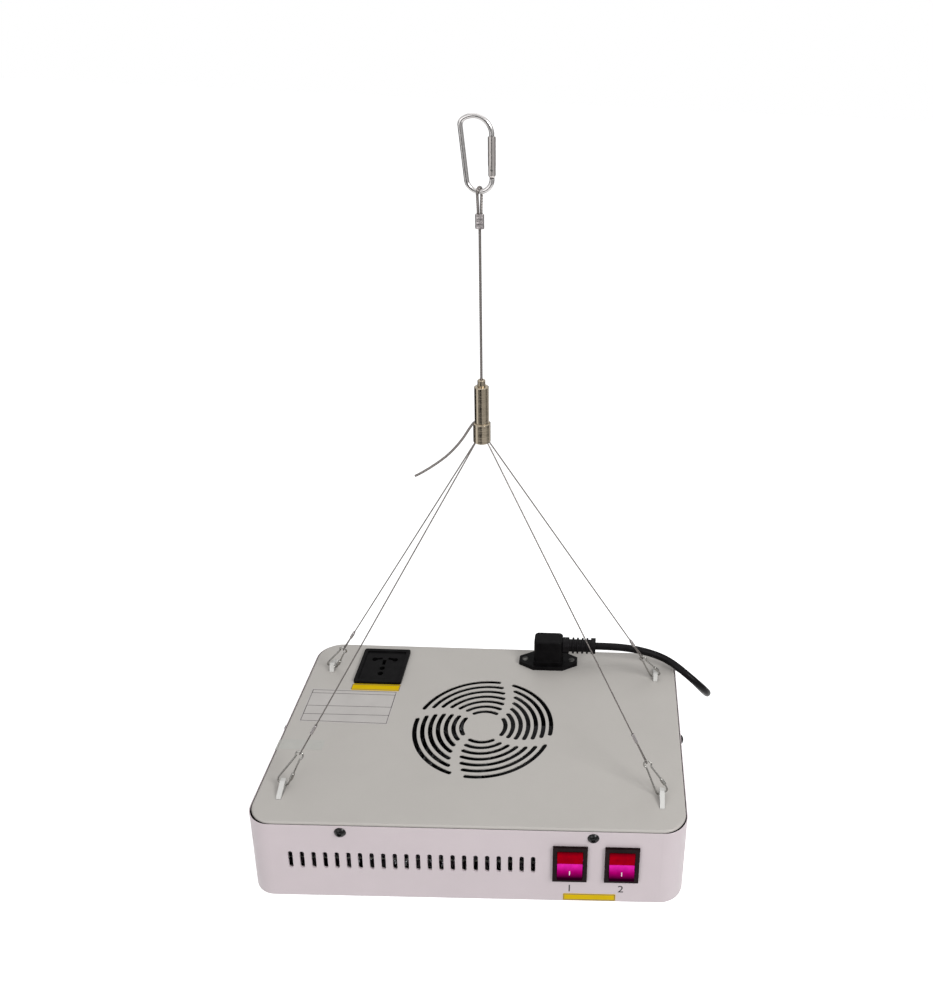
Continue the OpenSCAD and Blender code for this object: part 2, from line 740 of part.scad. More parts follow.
module inlet_screws() {
  color("silver") in_casing() for (sx = [-1, 1])
    translate([inlet_x + sx * inlet_screws_w / 2, inlet_y, inlet_t])
      dome_screw(inlet_hole_r * 1.6, inlet_hole_r * 0.6, inlet_hole_r - touch, inlet_t + cover_t);
}

module angle_plug() {
  low = inlet_t + plug_gap;
  color("black") in_casing() translate([inlet_x, inlet_y, 0]) difference() {
    union() {
      translate([0, 0, plug_top]) folded_slab(plug_w, plug_d, plug_top - low, plug_round, plug_fold);
      translate([-inlet_bay_w / 2 + nose_gap, -inlet_bay_d / 2 + nose_gap, inlet_t - nose_depth])
        cube([inlet_bay_w - 2 * nose_gap, inlet_bay_d - 2 * nose_gap, nose_depth + plug_gap + cut]);
    }
    translate([0, 0, inlet_floor_t - inlet_body_h]) blades(nose_gap);
  }
}

// A strain relief along +Z: a neck, thin ribs round a slim core and a wide end ring
module ribbed_boot(r, l, ribs) {
  neck_l = l * 0.24;
  ring_l = l * 0.2;
  rib_pitch = (l - neck_l - ring_l) / (ribs + 1);
  cylinder(h = l, r1 = r * 0.8, r2 = r * 0.66);
  cylinder(h = neck_l, r = r * 0.96);
  for (i = [1:ribs])
    translate([0, 0, neck_l + (i - 0.25) * rib_pitch]) cylinder(h = rib_pitch / 2, r = r * 0.98);
  translate([0, 0, l - ring_l]) cylinder(h = ring_l, r = r);
}

module lead_boot() {
  color("black") in_casing() translate([inlet_x + plug_w / 2, inlet_y, lead_z]) rotate([0, 90, 0])
    ribbed_boot(boot_r, boot_l, boot_ribs);
}

module lead_run() {
  color("black") in_casing() translate(lead_from) swept(lead_route, lead_d / 2, lead_sides);
}

// Puts a part at the middle of the lead's coil
module in_coil() {
  in_casing() translate(lead_from + coil_from_lead) children();
}

module lead_coil() {
  color("black") in_coil() rotate([90, 0, 0]) rotate_extrude()
    translate([coil_in_r, -coil_t / 2]) square([coil_out_r - coil_in_r, coil_t]);
}

module coil_tie() {
  wide = coil_out_r - coil_in_r;
  color("dimgray") in_coil() rotate([0, -tie_a, 0])
    translate([(coil_in_r + coil_out_r) / 2, 0, 0]) difference() {
      cube([wide + 2 * (fit + tie_t), coil_t + 2 * (fit + tie_t), tie_w], center = true);
      cube([wide + 2 * fit, coil_t + 2 * fit, tie_w + 2 * cut], center = true);
    }
}

// Puts a part at the end of the lead, with +Z pointing down along its plug
module at_lead_end() {
  in_coil() translate([-coil_turn_r, lead_layer, -end_drop]) rotate([180, 0, 0]) children();
}

module mains_plug() {
  color("black") at_lead_end() {
    translate([0, 0, stub_drop - end_drop]) cylinder(h = end_drop - stub_drop + cut, r = lead_d / 2);
    ribbed_boot(end_boot_r, end_boot_l, boot_ribs);
    translate([0, 0, end_boot_l + end_plug_l])
      folded_slab(end_plug_w, end_plug_d, end_plug_l, plug_round, plug_fold);
  }
}

module mains_plug_pins() {
  blade_w = 6.3;
  blade_gap = 12.7;
  thick = 1.5;
  color("gold") at_lead_end() translate([0, 0, end_boot_l + end_plug_l]) {
    for (sx = [-1, 1])
      translate([sx * blade_gap / 2 - thick / 2, -1.2, 0]) cube([thick, blade_w, 16]);
    translate([0, -6.5, 0]) cylinder(h = 18, r = 2.4);
  }
}

module outlet_socket() {
  color("black") in_casing() translate([-outlet_x, outlet_y, 0]) difference() {
    union() {
      rounded_slab(outlet_w, outlet_d, outlet_t, outlet_lip);
      translate([0, 0, -outlet_body_h])
        rounded_slab(outlet_in_w, outlet_in_d, outlet_body_h + outlet_t / 2, outlet_lip);
    }
    translate([0, 0, outlet_t / 2])
      rounded_slab(outlet_in_w - outlet_lip, outlet_in_d - outlet_lip, outlet_t, outlet_lip);
    for (s = [-1, 1]) {
      translate([s * 6.6, 9.5, -12]) rotate([0, 0, -s * 14]) translate([-4.2, -1.3, 0]) cube([8.4, 2.6, 14]);
      translate([s * 8.6, 9, -12]) cylinder(h = 14, r = 2.4);
    }
    translate([0, -9.5, -12]) cylinder(h = 14, r = 2.4);
    translate([0, -2.6, -12]) cylinder(h = 14, r = 2.3);
    translate([-1.4, 2, -12]) cube([2.8, 6.4, 14]);
  }
}

// Puts a part at a switch's pivot
module at_switch(i) {
  in_casing() translate([switch_x + i * switch_pitch, front_y + pivot_in, -switch_drop]) children();
}

module switch_case(i) {
  color("black") at_switch(i) difference() {
    union() {
      translate([-bezel_w / 2, -pivot_in - bezel_t, -bezel_h / 2]) cube([bezel_w, bezel_t, bezel_h]);
      translate([-switch_body_w / 2, -pivot_in - bezel_t / 2, -switch_body_h / 2])
        cube([switch_body_w, switch_depth + bezel_t / 2, switch_body_h]);
    }
    translate([-window_w / 2, -pivot_in - bezel_t - cut, -window_h / 2])
      cube([window_w, switch_depth + bezel_t + cut - switch_wall, window_h]);
    translate([-switch_body_w, 0, 0]) rotate([0, 90, 0])
      cylinder(h = 2 * switch_body_w, r = rocker_pin_r + touch);
  }
}

module rocker(i) {
  color("crimson") at_switch(i) rotate([-rocker_lean, 0, 0]) {
    translate([-rocker_w / 2, 0, 0]) rotate([90, 0, 90]) linear_extrude(rocker_w)
      polygon([
        [-rocker_valley, 0], [-rocker_edge, rocker_h], [-rocker_edge + 3, rocker_h],
        [rocker_back, rocker_h / 2],
        [rocker_back, -rocker_h / 2], [-rocker_edge + 3, -rocker_h], [-rocker_edge, -rocker_h]
      ]);
    translate([-rocker_w / 2 - pin_reach, 0, 0]) rotate([0, 90, 0])
      cylinder(h = rocker_w + 2 * pin_reach, r = rocker_pin_r);
  }
}

module left_switch() {
  switch_case(0);
}

module right_switch() {
  switch_case(1);
}

module left_rocker() {
  rocker(0);
}

module right_rocker() {
  rocker(1);
}

// Puts a part at each of the fan's screws
module at_fan_screws() {
  for (sx = [-1, 1], sy = [-1, 1])
    translate([sx * fan_screws_w / 2, sy * fan_screws_w / 2, 0]) children();
}

module fan_frame() {
  color("dimgray") in_casing() translate([0, 0, fan_z]) {
    difference() {
      rounded_slab(fan_w, fan_w, fan_h, 5);
      translate([0, 0, -cut]) cylinder(h = fan_h + 2 * cut, r = fan_r, $fn = 96);
      at_fan_screws() translate([0, 0, -cut]) cylinder(h = fan_h + 2 * cut, r = fan_hole_r);
    }
    difference() {
      union() {
        for (a = [0:90:270])
          rotate([0, 0, a + 45]) translate([bearing_r - 1, -strut_w / 2, 0])
            cube([fan_r - bearing_r + 1.5, strut_w, strut_t]);
        cylinder(h = strut_t, r = hub_r);
        cylinder(h = fan_h - 6, r = bearing_r);
      }
      translate([0, 0, 1]) cylinder(h = fan_h, r = shaft_r + touch);
    }
  }
}

module fan_rotor() {
  low = strut_t + 1.5;
  high = fan_h - 1.5;
  color("black") in_casing() translate([0, 0, fan_z]) {
    difference() {
      translate([0, 0, low]) cylinder(h = high - low, r = hub_r);
      translate([0, 0, low - cut]) cylinder(h = high - low - 1, r = hub_r - 2);
    }
    translate([0, 0, 2]) cylinder(h = high - 3, r = shaft_r);
    for (i = [0:blade_n - 1])
      rotate([0, 0, i * 360 / blade_n]) intersection() {
        difference() {
          cylinder(h = high, r = blade_r);
          translate([0, 0, -cut]) cylinder(h = high + 2 * cut, r = hub_r - 1);
        }
        translate([0, 0, low + 0.5]) cylinder(h = high - low - 1, r = blade_r + cut);
        translate([0, 0, (low + high) / 2]) rotate([blade_pitch, 0, 0])
          translate([0, -fan_h, -blade_t / 2]) cube([fan_w, 2 * fan_h, blade_t]);
      }
  }
}

module fan_screws() {
  color("silver") in_casing() translate([0, 0, fan_z + fan_h]) at_fan_screws()
    dome_screw(fan_hole_r * 1.8, fan_hole_r, fan_hole_r - touch, fan_h + fin_h);
}

module heat_sink() {
  fins = floor(fan_w / fin_pitch);
  color("lightsteelblue") in_casing() difference() {
    union() {
      translate([-board_w / 2, -board_d / 2, sink_z]) cube([board_w, board_d, sink_t]);
      for (i = [0:fins])
        translate([(i - fins / 2) * fin_pitch - fin_t / 2, -board_d / 2, fin_z - cut])
          cube([fin_t, board_d, fin_h + cut]);
    }
    translate([0, 0, fin_z]) at_fan_screws() cylinder(h = fin_h + cut, r = fan_hole_r);
  }
}

// Puts a part at each boss under the LED board
module at_bosses() {
  for (sx = [-1, 0, 1], sy = [-1, 1])
    translate([sx * boss_x, sy * boss_y, 0]) children();
}

module led_board() {
  color("ivory") in_casing() difference() {
    translate([-board_w / 2, -board_d / 2, cup_top_z]) cube([board_w, board_d, board_t]);
    at_bosses() translate([0, 0, cup_top_z - cut]) cylinder(h = board_t + 2 * cut, r = boss_hole_r);
  }
}

// Puts a part at each cup
module at_cups() {
  for (i = [0:cup_nx - 1], j = [0:cup_ny - 1])
    translate([(i - (cup_nx - 1) / 2) * cup_pitch, (j - (cup_ny - 1) / 2) * cup_pitch, 0]) children();
}

module led_lenses() {
  color("mistyrose") in_casing() at_cups() translate([0, 0, cup_top_z - led_h]) {
    cylinder(h = led_h, r1 = led_r * 0.6, r2 = led_r);
  }
}

module reflector() {
  color("whitesmoke") in_casing() difference() {
    union() {
      translate([0, 0, lip_z]) rounded_slab(panel_w, panel_d, cup_t, skirt_r);
      at_cups() translate([0, 0, lip_z])
        cylinder(h = cup_h + cup_t, r1 = cup_r + cup_t, r2 = cup_top_r + cup_t);
      at_bosses() translate([0, 0, lip_z]) cylinder(h = cup_h + cup_t, r = boss_r);
    }
    at_cups() translate([0, 0, lip_z]) cylinder(h = cup_h + cup_t, r1 = cup_r, r2 = cup_top_r);
    at_bosses() translate([0, 0, lip_z - cut]) cylinder(h = cup_h + cup_t + 2 * cut, r = boss_hole_r);
  }
}

module reflector_screws() {
  color("silver") in_casing() at_bosses() translate([0, 0, lip_z]) rotate([180, 0, 0])
    dome_screw(boss_head_r, frame_t * 0.8, boss_hole_r - touch, cup_h + cup_t + board_t);
}

// A potted driver with a mounting ear at each end
module driver() {
  rounded_slab(driver_w, driver_d, driver_h, 3);
  rounded_slab(driver_w / 2, driver_d + 2 * ear_l, 2, 3);
}

module left_driver() {
  color("gray") in_casing() translate([-driver_x, -left_driver_y, fin_z]) driver();
}

module right_driver() {
  color("gray") in_casing() translate([driver_x, right_driver_y, fin_z]) driver();
}

module hook_body() {
  left_a = 180 + hook_lean;
  stub_top = gate_pivot.y - fork_l - body_gap;
  rod_line = concat(
    [[bow_low_r, top_c.y - nose_l]],
    [for (i = [0:9]) top_c + polar(bow_top_r, corner_a * i / 9)],
    [for (i = [1:6]) corner_c + polar(bow_corner_r, corner_a + (left_a - corner_a) * i / 6)],
    [for (i = [0:14]) low_c + polar(bow_low_r, left_a + (360 - left_a) * i / 14)],
    [[bow_low_r, stub_top]]
  );
  color("silver") difference() {
    union() {
      swept([for (p = rod_line) [p.x, 0, p.y]], rod_r, rod_sides);
      translate([bow_low_r - tongue_r, -tongue_t / 2, stub_top - cut])
        cube([2 * tongue_r, tongue_t, gate_pivot.y - stub_top + cut]);
      translate([bow_low_r, tongue_t / 2, gate_pivot.y]) rotate([90, 0, 0])
        cylinder(h = tongue_t, r = tongue_r);
    }
    translate([bow_low_r, tongue_t, gate_pivot.y]) rotate([90, 0, 0])
      cylinder(h = 2 * tongue_t, r = rivet_r + touch);
  }
}

module hook_gate() {
  gate_low_z = gate_pivot.y - fork_l + gate_r;
  color("gainsboro") difference() {
    union() {
      rod([bow_low_r, 0, gate_low_z], [bow_low_r, 0, gate_top_z], gate_r);
      translate([bow_low_r, 0, gate_low_z]) sphere(gate_r);
    }
    translate([bow_low_r - 2 * gate_r, -tongue_t / 2 - body_gap, gate_pivot.y - fork_l - cut])
      cube([4 * gate_r, tongue_t + 2 * body_gap, fork_l + cut + gate_r]);
    translate([bow_low_r, 2 * gate_r, gate_pivot.y]) rotate([90, 0, 0])
      cylinder(h = 4 * gate_r, r = rivet_r + touch);
  }
}

module gate_rivet() {
  color("dimgray") translate([bow_low_r, rivet_l / 2, gate_pivot.y]) rotate([90, 0, 0])
    cylinder(h = rivet_l, r = rivet_r);
}

module cable_eye() {
  leg_n = 6;
  down = [
    for (i = [0:leg_n])
      [half_wire, eye_r * (1 + cos(180 * i / leg_n)) / 2, bow_z + (ferrule_top - bow_z) * i / leg_n]
  ];
  arch = [for (a = [20:20:160]) [half_wire * cos(a), eye_r * cos(a), bow_z + eye_r * sin(a)]];
  left = [for (q = down) [-q.x, -q.y, q.z]];
  right = [for (i = [leg_n:-1:0]) down[i]];
  color("gray") swept(concat(right, arch, left), cable_r, wire_sides);
}

module cable_ferrule() {
  color("silver") translate([0, 0, ferrule_bottom]) {
    for (sx = [-1, 1])
      translate([sx * ferrule_half, 0, 0]) cylinder(h = ferrule_l, r = ferrule_r);
    translate([-ferrule_half, -ferrule_r, 0]) cube([2 * ferrule_half, 2 * ferrule_r, ferrule_l]);
  }
}

module main_cable() {
  color("gray") translate([0, 0, cable_end]) cylinder(h = ferrule_bottom - cable_end, r = cable_r);
}

module gripper_barrel() {
  color("rosybrown") difference() {
    rotate_extrude() polygon([
      [nub_r + stem_gap, barrel_top], [barrel_r - chamfer, barrel_top], [barrel_r, barrel_top - chamfer],
      [barrel_r, collar_top], [spigot_r, collar_top], [spigot_r, collar_top - spigot_l],
      [bore_r, collar_top - spigot_l], [bore_r, cone_bottom], [seat_r, cone_top], [cavity_r, cone_top],
      [cavity_r, barrel_top - lip_l], [nub_r + stem_gap, barrel_top - lip_l]
    ]);
    translate([0, 0, port_z]) rotate([0, -90 - port_slope, 0]) cylinder(h = 2 * barrel_r, r = port_r);
  }
}

module gripper_collar() {
  color("rosybrown") difference() {
    rotate_extrude() polygon([
      [0, hub_z], [collar_r - chamfer, hub_z], [collar_r, hub_z + chamfer], [collar_r, collar_top - chamfer],
      [collar_r - chamfer, collar_top], [spigot_r + touch, collar_top],
      [spigot_r + touch, collar_top - spigot_l],
      [0, collar_top - spigot_l]
    ]);
    for (c = corners)
      rod(leg_head(c) - collar_r * leg_dir(c), leg_head(c) + leg_exit_r * leg_dir(c), leg_d / 2 + touch);
    rod(notch_from, notch_to, port_r + touch);
  }
}

module release_plunger() {
  flange_top = barrel_top - lip_l - touch;
  color("tan") rotate_extrude() polygon([
    [bore_r, nub_top], [nub_r - chamfer, nub_top], [nub_r, nub_top - chamfer], [nub_r, flange_top],
    [flange_r, flange_top], [flange_r, flange_top - flange_t], [sleeve_r, flange_top - flange_t],
    [sleeve_r, sleeve_bottom], [bore_r, sleeve_bottom]
  ]);
}

module plunger_spring() {
  steps = 10;
  low = cone_top + spring_wire_r + touch;
  high = spring_top - spring_wire_r - 2 * touch;
  turns = [for (i = [0:spring_turns * steps]) let (a = 360 * i / steps)
    [spring_r * cos(a), spring_r * sin(a), low + (high - low) * i / (spring_turns * steps)]];
  color("silver") swept(turns, spring_wire_r, 6);
}

module grip_balls() {
  color("silver") for (a = [0:120:240])
    rotate([0, 0, a + 60]) translate([ball_c, 0, ball_z]) sphere(ball_r);
}

module cable_tail() {
  color("gray") translate([0, 0, collar_top]) swept(tail_route, cable_r, wire_sides);
}

// One leg wire: the straight run to the collar and the loop through the clip's eye
module leg_wire(c) {
  loop_z = eye_z + clip_eye_r;
  crimp_z = eye_z + loop_l;
  half = crimp_half;
  arch = [for (a = [160:20:380]) [0, loop_r * cos(a), loop_z + loop_r * sin(a)]];
  loop = concat(
    [[0, -half, crimp_z], [0, -loop_r, loop_z + loop_r]],
    arch,
    [[0, loop_r, loop_z + loop_r], [0, half, crimp_z]]
  );
  color("gray") along_leg(c) {
    swept(loop, leg_d / 2, wire_sides);
    translate([0, 0, crimp_z + crimp_l])
      cylinder(h = leg_span(c) - crimp_z - crimp_l + leg_exit_r, r = leg_d / 2);
  }
}

module leg_wire_front_left() {
  leg_wire(corners[0]);
}

module leg_wire_front_right() {
  leg_wire(corners[1]);
}

module leg_wire_rear_left() {
  leg_wire(corners[2]);
}

module leg_wire_rear_right() {
  leg_wire(corners[3]);
}

module leg_crimps() {
  color("silver") for (c = corners)
    along_leg(c) translate([0, 0, eye_z + loop_l]) {
      for (sy = [-1, 1])
        translate([0, sy * crimp_half, 0]) cylinder(h = crimp_l, r = crimp_r);
      translate([-crimp_r, -crimp_half, 0]) cube([2 * crimp_r, 2 * crimp_half, crimp_l]);
    }
}

// A spring-wire clip: the eye at the top, two legs, the bend through the lug and the catch
module clip(c) {
  half = clip_w / 2 - clip_d / 2;
  shift = c.x * clip_shift;
  turn = 1.6;
  catch_low = 5;
  catch_high = 10.5;
  side = clip_d * 0.55;
  neck = [clip_eye_r * 0.7, clip_l - clip_eye_r * 0.9];
  bend_point = function(s, a) [shift + s * (half - turn + turn * cos(a)), 0, turn - turn * sin(a)];
  leg_x = function(z) shift + half + (neck.x - half - shift) * (z - catch_low) / (neck.y - catch_low);
  eye_arch = [
    for (a = [200:-20:-20])
      [clip_eye_r * cos(a), side * (1 - (200 - a) / 110), clip_l + clip_eye_r * sin(a)]
  ];
  path = concat(
    [[shift + half, 0, catch_low]],
    [for (a = [0:30:90]) bend_point(1, a)],
    [for (a = [90:-30:0]) bend_point(-1, a)],
    [[shift - half, 0, catch_low], [-neck.x, side, neck.y]],
    eye_arch,
    [[neck.x, -side, neck.y], [leg_x(catch_high), 0, catch_high]]
  );
  color("silver") along_leg(c) translate([0, 0, wire_lift]) {
    swept(path, clip_d / 2, wire_sides);
    rod([shift + half, 0, catch_low], [leg_x(catch_high), 0, catch_high], clip_d);
  }
}

module clip_front_left() {
  clip(corners[0]);
}

module clip_front_right() {
  clip(corners[1]);
}

module clip_rear_left() {
  clip(corners[2]);
}

module clip_rear_right() {
  clip(corners[3]);
}

housing_frame();
top_cover();
cover_screws();
hanging_lugs();
inlet_socket();
inlet_pins();
inlet_screws();
angle_plug();
lead_boot();
lead_run();
lead_coil();
coil_tie();
mains_plug();
mains_plug_pins();
outlet_socket();
left_switch();
left_rocker();
right_switch();
right_rocker();
fan_frame();
fan_rotor();
fan_screws();
heat_sink();
led_board();
led_lenses();
reflector();
reflector_screws();
left_driver();
right_driver();
hook_body();
hook_gate();
gate_rivet();
cable_eye();
cable_ferrule();
main_cable();
gripper_barrel();
gripper_collar();
release_plunger();
plunger_spring();
grip_balls();
cable_tail();
leg_wire_front_left();
leg_wire_front_right();
leg_wire_rear_left();
leg_wire_rear_right();
leg_crimps();
clip_front_left();
clip_front_right();
clip_rear_left();
clip_rear_right();
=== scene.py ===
from math import asin, ceil, cos, pi, radians, sin, sqrt

import bmesh
import bpy
from mathutils import Matrix, Vector


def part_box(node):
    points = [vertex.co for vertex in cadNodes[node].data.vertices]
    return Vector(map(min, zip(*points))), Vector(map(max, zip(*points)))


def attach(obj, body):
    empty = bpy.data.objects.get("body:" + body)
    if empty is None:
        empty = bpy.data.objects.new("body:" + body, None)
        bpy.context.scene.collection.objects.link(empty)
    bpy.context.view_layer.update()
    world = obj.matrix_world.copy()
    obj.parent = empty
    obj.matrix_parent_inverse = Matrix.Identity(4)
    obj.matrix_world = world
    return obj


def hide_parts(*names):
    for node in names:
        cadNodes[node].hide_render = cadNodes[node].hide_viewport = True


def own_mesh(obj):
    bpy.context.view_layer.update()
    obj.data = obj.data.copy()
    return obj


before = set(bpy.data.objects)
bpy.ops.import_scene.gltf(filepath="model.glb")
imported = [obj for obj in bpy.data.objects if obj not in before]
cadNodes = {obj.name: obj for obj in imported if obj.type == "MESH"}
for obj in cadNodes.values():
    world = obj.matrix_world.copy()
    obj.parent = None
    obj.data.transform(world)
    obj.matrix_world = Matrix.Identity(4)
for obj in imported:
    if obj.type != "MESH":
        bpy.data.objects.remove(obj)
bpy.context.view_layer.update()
scene = bpy.context.scene
scene.view_settings.view_transform = "Standard"
mm = 0.001  # sizes below are in millimetres
switchSides = ("left", "right")
print("frame loaded with", len(cadNodes), "nodes")

# Middle of the cover's top, the place that everything on the casing is measured from
coverLow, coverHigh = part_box("top_cover")
plate = Vector(((coverLow.x + coverHigh.x) / 2, (coverLow.y + coverHigh.y) / 2, coverHigh.z))
frontY = (coverLow.y - plate.y) / mm  # front wall, seen from the plate's middle
leftX = (coverLow.x - plate.x) / mm


def onPlate(x, y, z=0.0):
    return plate + Vector((x, y, z)) * mm


def middleOf(node):
    low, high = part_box(node)
    return (low + high) / 2


def pick(settings, keys):
    return [settings[key] for key in keys.split()]


def onCircle(radius, degrees):
    angle = radians(degrees)
    return radius * cos(angle), radius * sin(angle)


# Camera: a stand-in for the photograph's own, fitted to the casing's corners and lugs
view = {
    "eye": (81.68, -616.33, 75.527),
    "heading": 1.867,
    "pitch": -21.55,
    "roll": 2.88,
    "lens": 35.0964,
    "sensor": 36.0,
    "shift": (-0.165, -0.12),
    "near": 10,
}


def makeCamera():
    data = bpy.data.cameras.new("photoCamera")
    data.lens = view["lens"]
    data.sensor_width = view["sensor"]
    data.shift_x, data.shift_y = view["shift"]
    data.clip_start = view["near"] * mm
    camera = bpy.data.objects.new("photoCamera", data)
    turn = Matrix.Rotation(-radians(view["heading"]), 4, "Z")
    tilt = Matrix.Rotation(pi / 2 + radians(view["pitch"]), 4, "X")
    lean = Matrix.Rotation(radians(view["roll"]), 4, "Z")
    camera.matrix_world = Matrix.Translation(Vector(view["eye"]) * mm) @ turn @ tilt @ lean
    scene.collection.objects.link(camera)
    scene.camera = camera


makeCamera()
print("camera set")


# Materials. Colours are given as seen on a screen, from 0 to 255
def tint(red, green, blue):
    def linear(value):
        value /= 255
        return value / 12.92 if value <= 0.04045 else ((value + 0.055) / 1.055) ** 2.4
    return (linear(red), linear(green), linear(blue), 1.0)


def shade(colour, share):
    return tuple(c * share for c in colour[:3]) + (1,)


def setSockets(mat, node, sockets):
    # each socket takes another node's output, or a plain value
    for key, value in sockets.items():
        if isinstance(value, bpy.types.NodeSocket):
            mat.node_tree.links.new(value, node.inputs[key])
        else:
            node.inputs[key].default_value = value


def setSurface(mat, **sockets):
    shader = mat.node_tree.nodes["Principled BSDF"]
    setSockets(mat, shader, {key.replace("_", " "): value for key, value in sockets.items()})


def startMaterial(name, **sockets):
    mat = bpy.data.materials.new(name)
    mat.use_nodes = True
    setSurface(mat, **sockets)
    return mat


def addNode(mat, kind, sockets=None, **settings):
    node = mat.node_tree.nodes.new("ShaderNode" + kind)
    for key, value in settings.items():
        setattr(node, key, value)
    setSockets(mat, node, sockets or {})
    return node


def objectPoint(mat, stretch=(1, 1, 1)):
    place = addNode(mat, "TexCoord").outputs["Object"]
    if stretch == (1, 1, 1):
        return place
    return addNode(mat, "Mapping", {"Vector": place, "Scale": stretch}).outputs["Vector"]


def noise(mat, grain, detail=3.0, stretch=(1, 1, 1), rough=0.55):
    # grain is the size of one speck, in millimetres
    return addNode(mat, "TexNoise", {
        "Vector": objectPoint(mat, stretch), "Scale": 1 / (grain * mm), "Detail": detail,
        "Roughness": rough}).outputs["Fac"]


def mapRange(mat, value, lowest, highest, low=0.0, high=1.0):
    return addNode(mat, "MapRange", {
        "Value": value, "From Min": lowest, "From Max": highest, "To Min": low,
        "To Max": high}).outputs["Result"]


def spread(mat, factor, low, high):
    # noise keeps near its middle, so that part is spread from low to high
    return mapRange(mat, factor, 0.3, 0.7, low, high)


def mixColour(mat, factor, first, second):
    return addNode(mat, "Mix", {0: factor, 6: first, 7: second}, data_type="RGBA").outputs[2]


def blotches(mat, grain, share, first, second, detail=3.0):
    return mixColour(mat, spread(mat, noise(mat, grain, detail), 0.0, share), first, second)


def clouded(mat, base, size):
    return blotches(mat, size["cloud"], 1.0, base, shade(base, size["cloudShade"]))


def varyRoughness(mat, factor, middle, swing):
    setSurface(mat, Roughness=spread(mat, factor, middle - swing[0], middle + swing[1]))


def softEdge(mat, radius):
    return addNode(mat, "Bevel", {"Radius": radius * mm}, samples=4).outputs["Normal"]


def edgeMask(mat, edge):
    # 0 on flats, towards 1 where the softened edge turns away from the face
    flat = addNode(mat, "NewGeometry").outputs["Normal"]
    dot = addNode(mat, "VectorMath", {0: edge, 1: flat}, operation="DOT_PRODUCT")
    return mapRange(mat, dot.outputs["Value"], 1.0, 0.7)


def addBump(mat, height, depth, strength, edge=None):
    sockets = {"Height": height, "Distance": depth * mm, "Strength": strength}
    if edge is not None:
        sockets["Normal"] = edge
    setSurface(mat, Normal=addNode(mat, "Bump", sockets).outputs["Normal"])


def addWaves(mat, size, edge=None):
    addBump(mat, noise(mat, size["wave"], 1.0), size["waveDepth"], size["waveStrength"], edge)


# Sprayed powder paint: fine orange peel, faint clouding, and a painted highlight that makes the
# edges paler
powder = {
    "shine": 0.42, "cloud": 60, "cloudShade": 0.94,
    "speck": 0.5, "speckShade": 0.88, "speckShare": 0.35,
    "rub": 0.6, "gloss": 9, "swing": (0.05, 0.06),
    "peel": 1.1, "peelDepth": 0.06, "peelStrength": 0.35,
}


def powderPaint(name, colour, edgeHighlight, roughness=0.46, edgeSize=0.5):
    mat = startMaterial(name, Specular_IOR_Level=powder["shine"])
    base = tint(*colour)
    speck = blotches(mat, powder["speck"], powder["speckShare"], clouded(mat, base, powder),
                     shade(base, powder["speckShade"]), detail=1.0)
    edge = softEdge(mat, edgeSize)
    # painted highlight: the softened edges are mixed towards the paler second colour
    rub = addNode(mat, "Math", {0: edgeMask(mat, edge), 1: powder["rub"]}, operation="MULTIPLY")
    setSurface(mat, Base_Color=mixColour(mat, rub.outputs[0], speck, tint(*edgeHighlight)))
    varyRoughness(mat, noise(mat, powder["gloss"]), roughness, powder["swing"])
    addBump(mat, noise(mat, powder["peel"], 2.0), powder["peelDepth"], powder["peelStrength"], edge)
    return mat


# Moulded plastic or rubber: matt spark grain, gloss varying from spot to spot, paler blotches, and
# a painted sheen that makes the edges paler
moulded = {"cloud": 7, "cloudShare": 0.5, "paleToneAndSheen": (1.7, 0.006), "gloss": 3,
           "swing": (0.07, 0.09), "grainStrength": 0.4}


def mouldedPlastic(name, colour, roughness=0.4, grain=0.35, depth=0.03, edgeSize=0.4, shine=0.25):
    mat = startMaterial(name, Specular_IOR_Level=shine)
    base = tint(*colour)
    times, plus = moulded["paleToneAndSheen"]
    paleToneAndSheen = tuple(min(1, c * times + plus) for c in base[:3]) + (1,)
    edge = softEdge(mat, edgeSize)
    cloud = blotches(mat, moulded["cloud"], moulded["cloudShare"], base, paleToneAndSheen)
    # painted sheen: the softened edges take the paler colour
    setSurface(mat, Base_Color=mixColour(mat, edgeMask(mat, edge), cloud, paleToneAndSheen))
    varyRoughness(mat, noise(mat, moulded["gloss"]), roughness, moulded["swing"])
    addBump(mat, noise(mat, grain, 2.0), depth, moulded["grainStrength"], edge)
    return mat


# Bare or plated metal. The stretch gives drawn, turned or rolled marks their direction
metal = {"markDepth": 0.012, "markStrength": 0.3, "edgeSize": 0.25, "glossGrain": 3,
         "swing": (0.07, 0.08)}


def bareMetal(name, colour, roughness=0.28, stretch=(1, 1, 1), grain=0.5, dull=0.8):
    mat = startMaterial(name, Metallic=1.0)
    base = tint(*colour)
    marks = noise(mat, grain, 3.0, stretch)
    share = spread(mat, marks, 0.0, 1.0)
    setSurface(mat, Base_Color=mixColour(mat, share, base, shade(base, dull)))
    gloss = noise(mat, grain * metal["glossGrain"], 2.0, stretch)
    varyRoughness(mat, gloss, roughness, metal["swing"])
    addBump(mat, marks, metal["markDepth"], metal["markStrength"], softEdge(mat, metal["edgeSize"]))
    return mat


# Printed film of a sticker, with its faint waves
film = {"cloud": 14, "cloudShade": 0.93, "gloss": 5, "swing": (0.05, 0.08),
        "wave": 6, "waveDepth": 0.05, "waveStrength": 0.25}


def filmSticker(name, colour, roughness=0.38, shine=0.3):
    mat = startMaterial(name, Specular_IOR_Level=shine)
    setSurface(mat, Base_Color=clouded(mat, tint(*colour), film))
    varyRoughness(mat, noise(mat, film["gloss"]), roughness, film["swing"])
    addWaves(mat, film)
    return mat
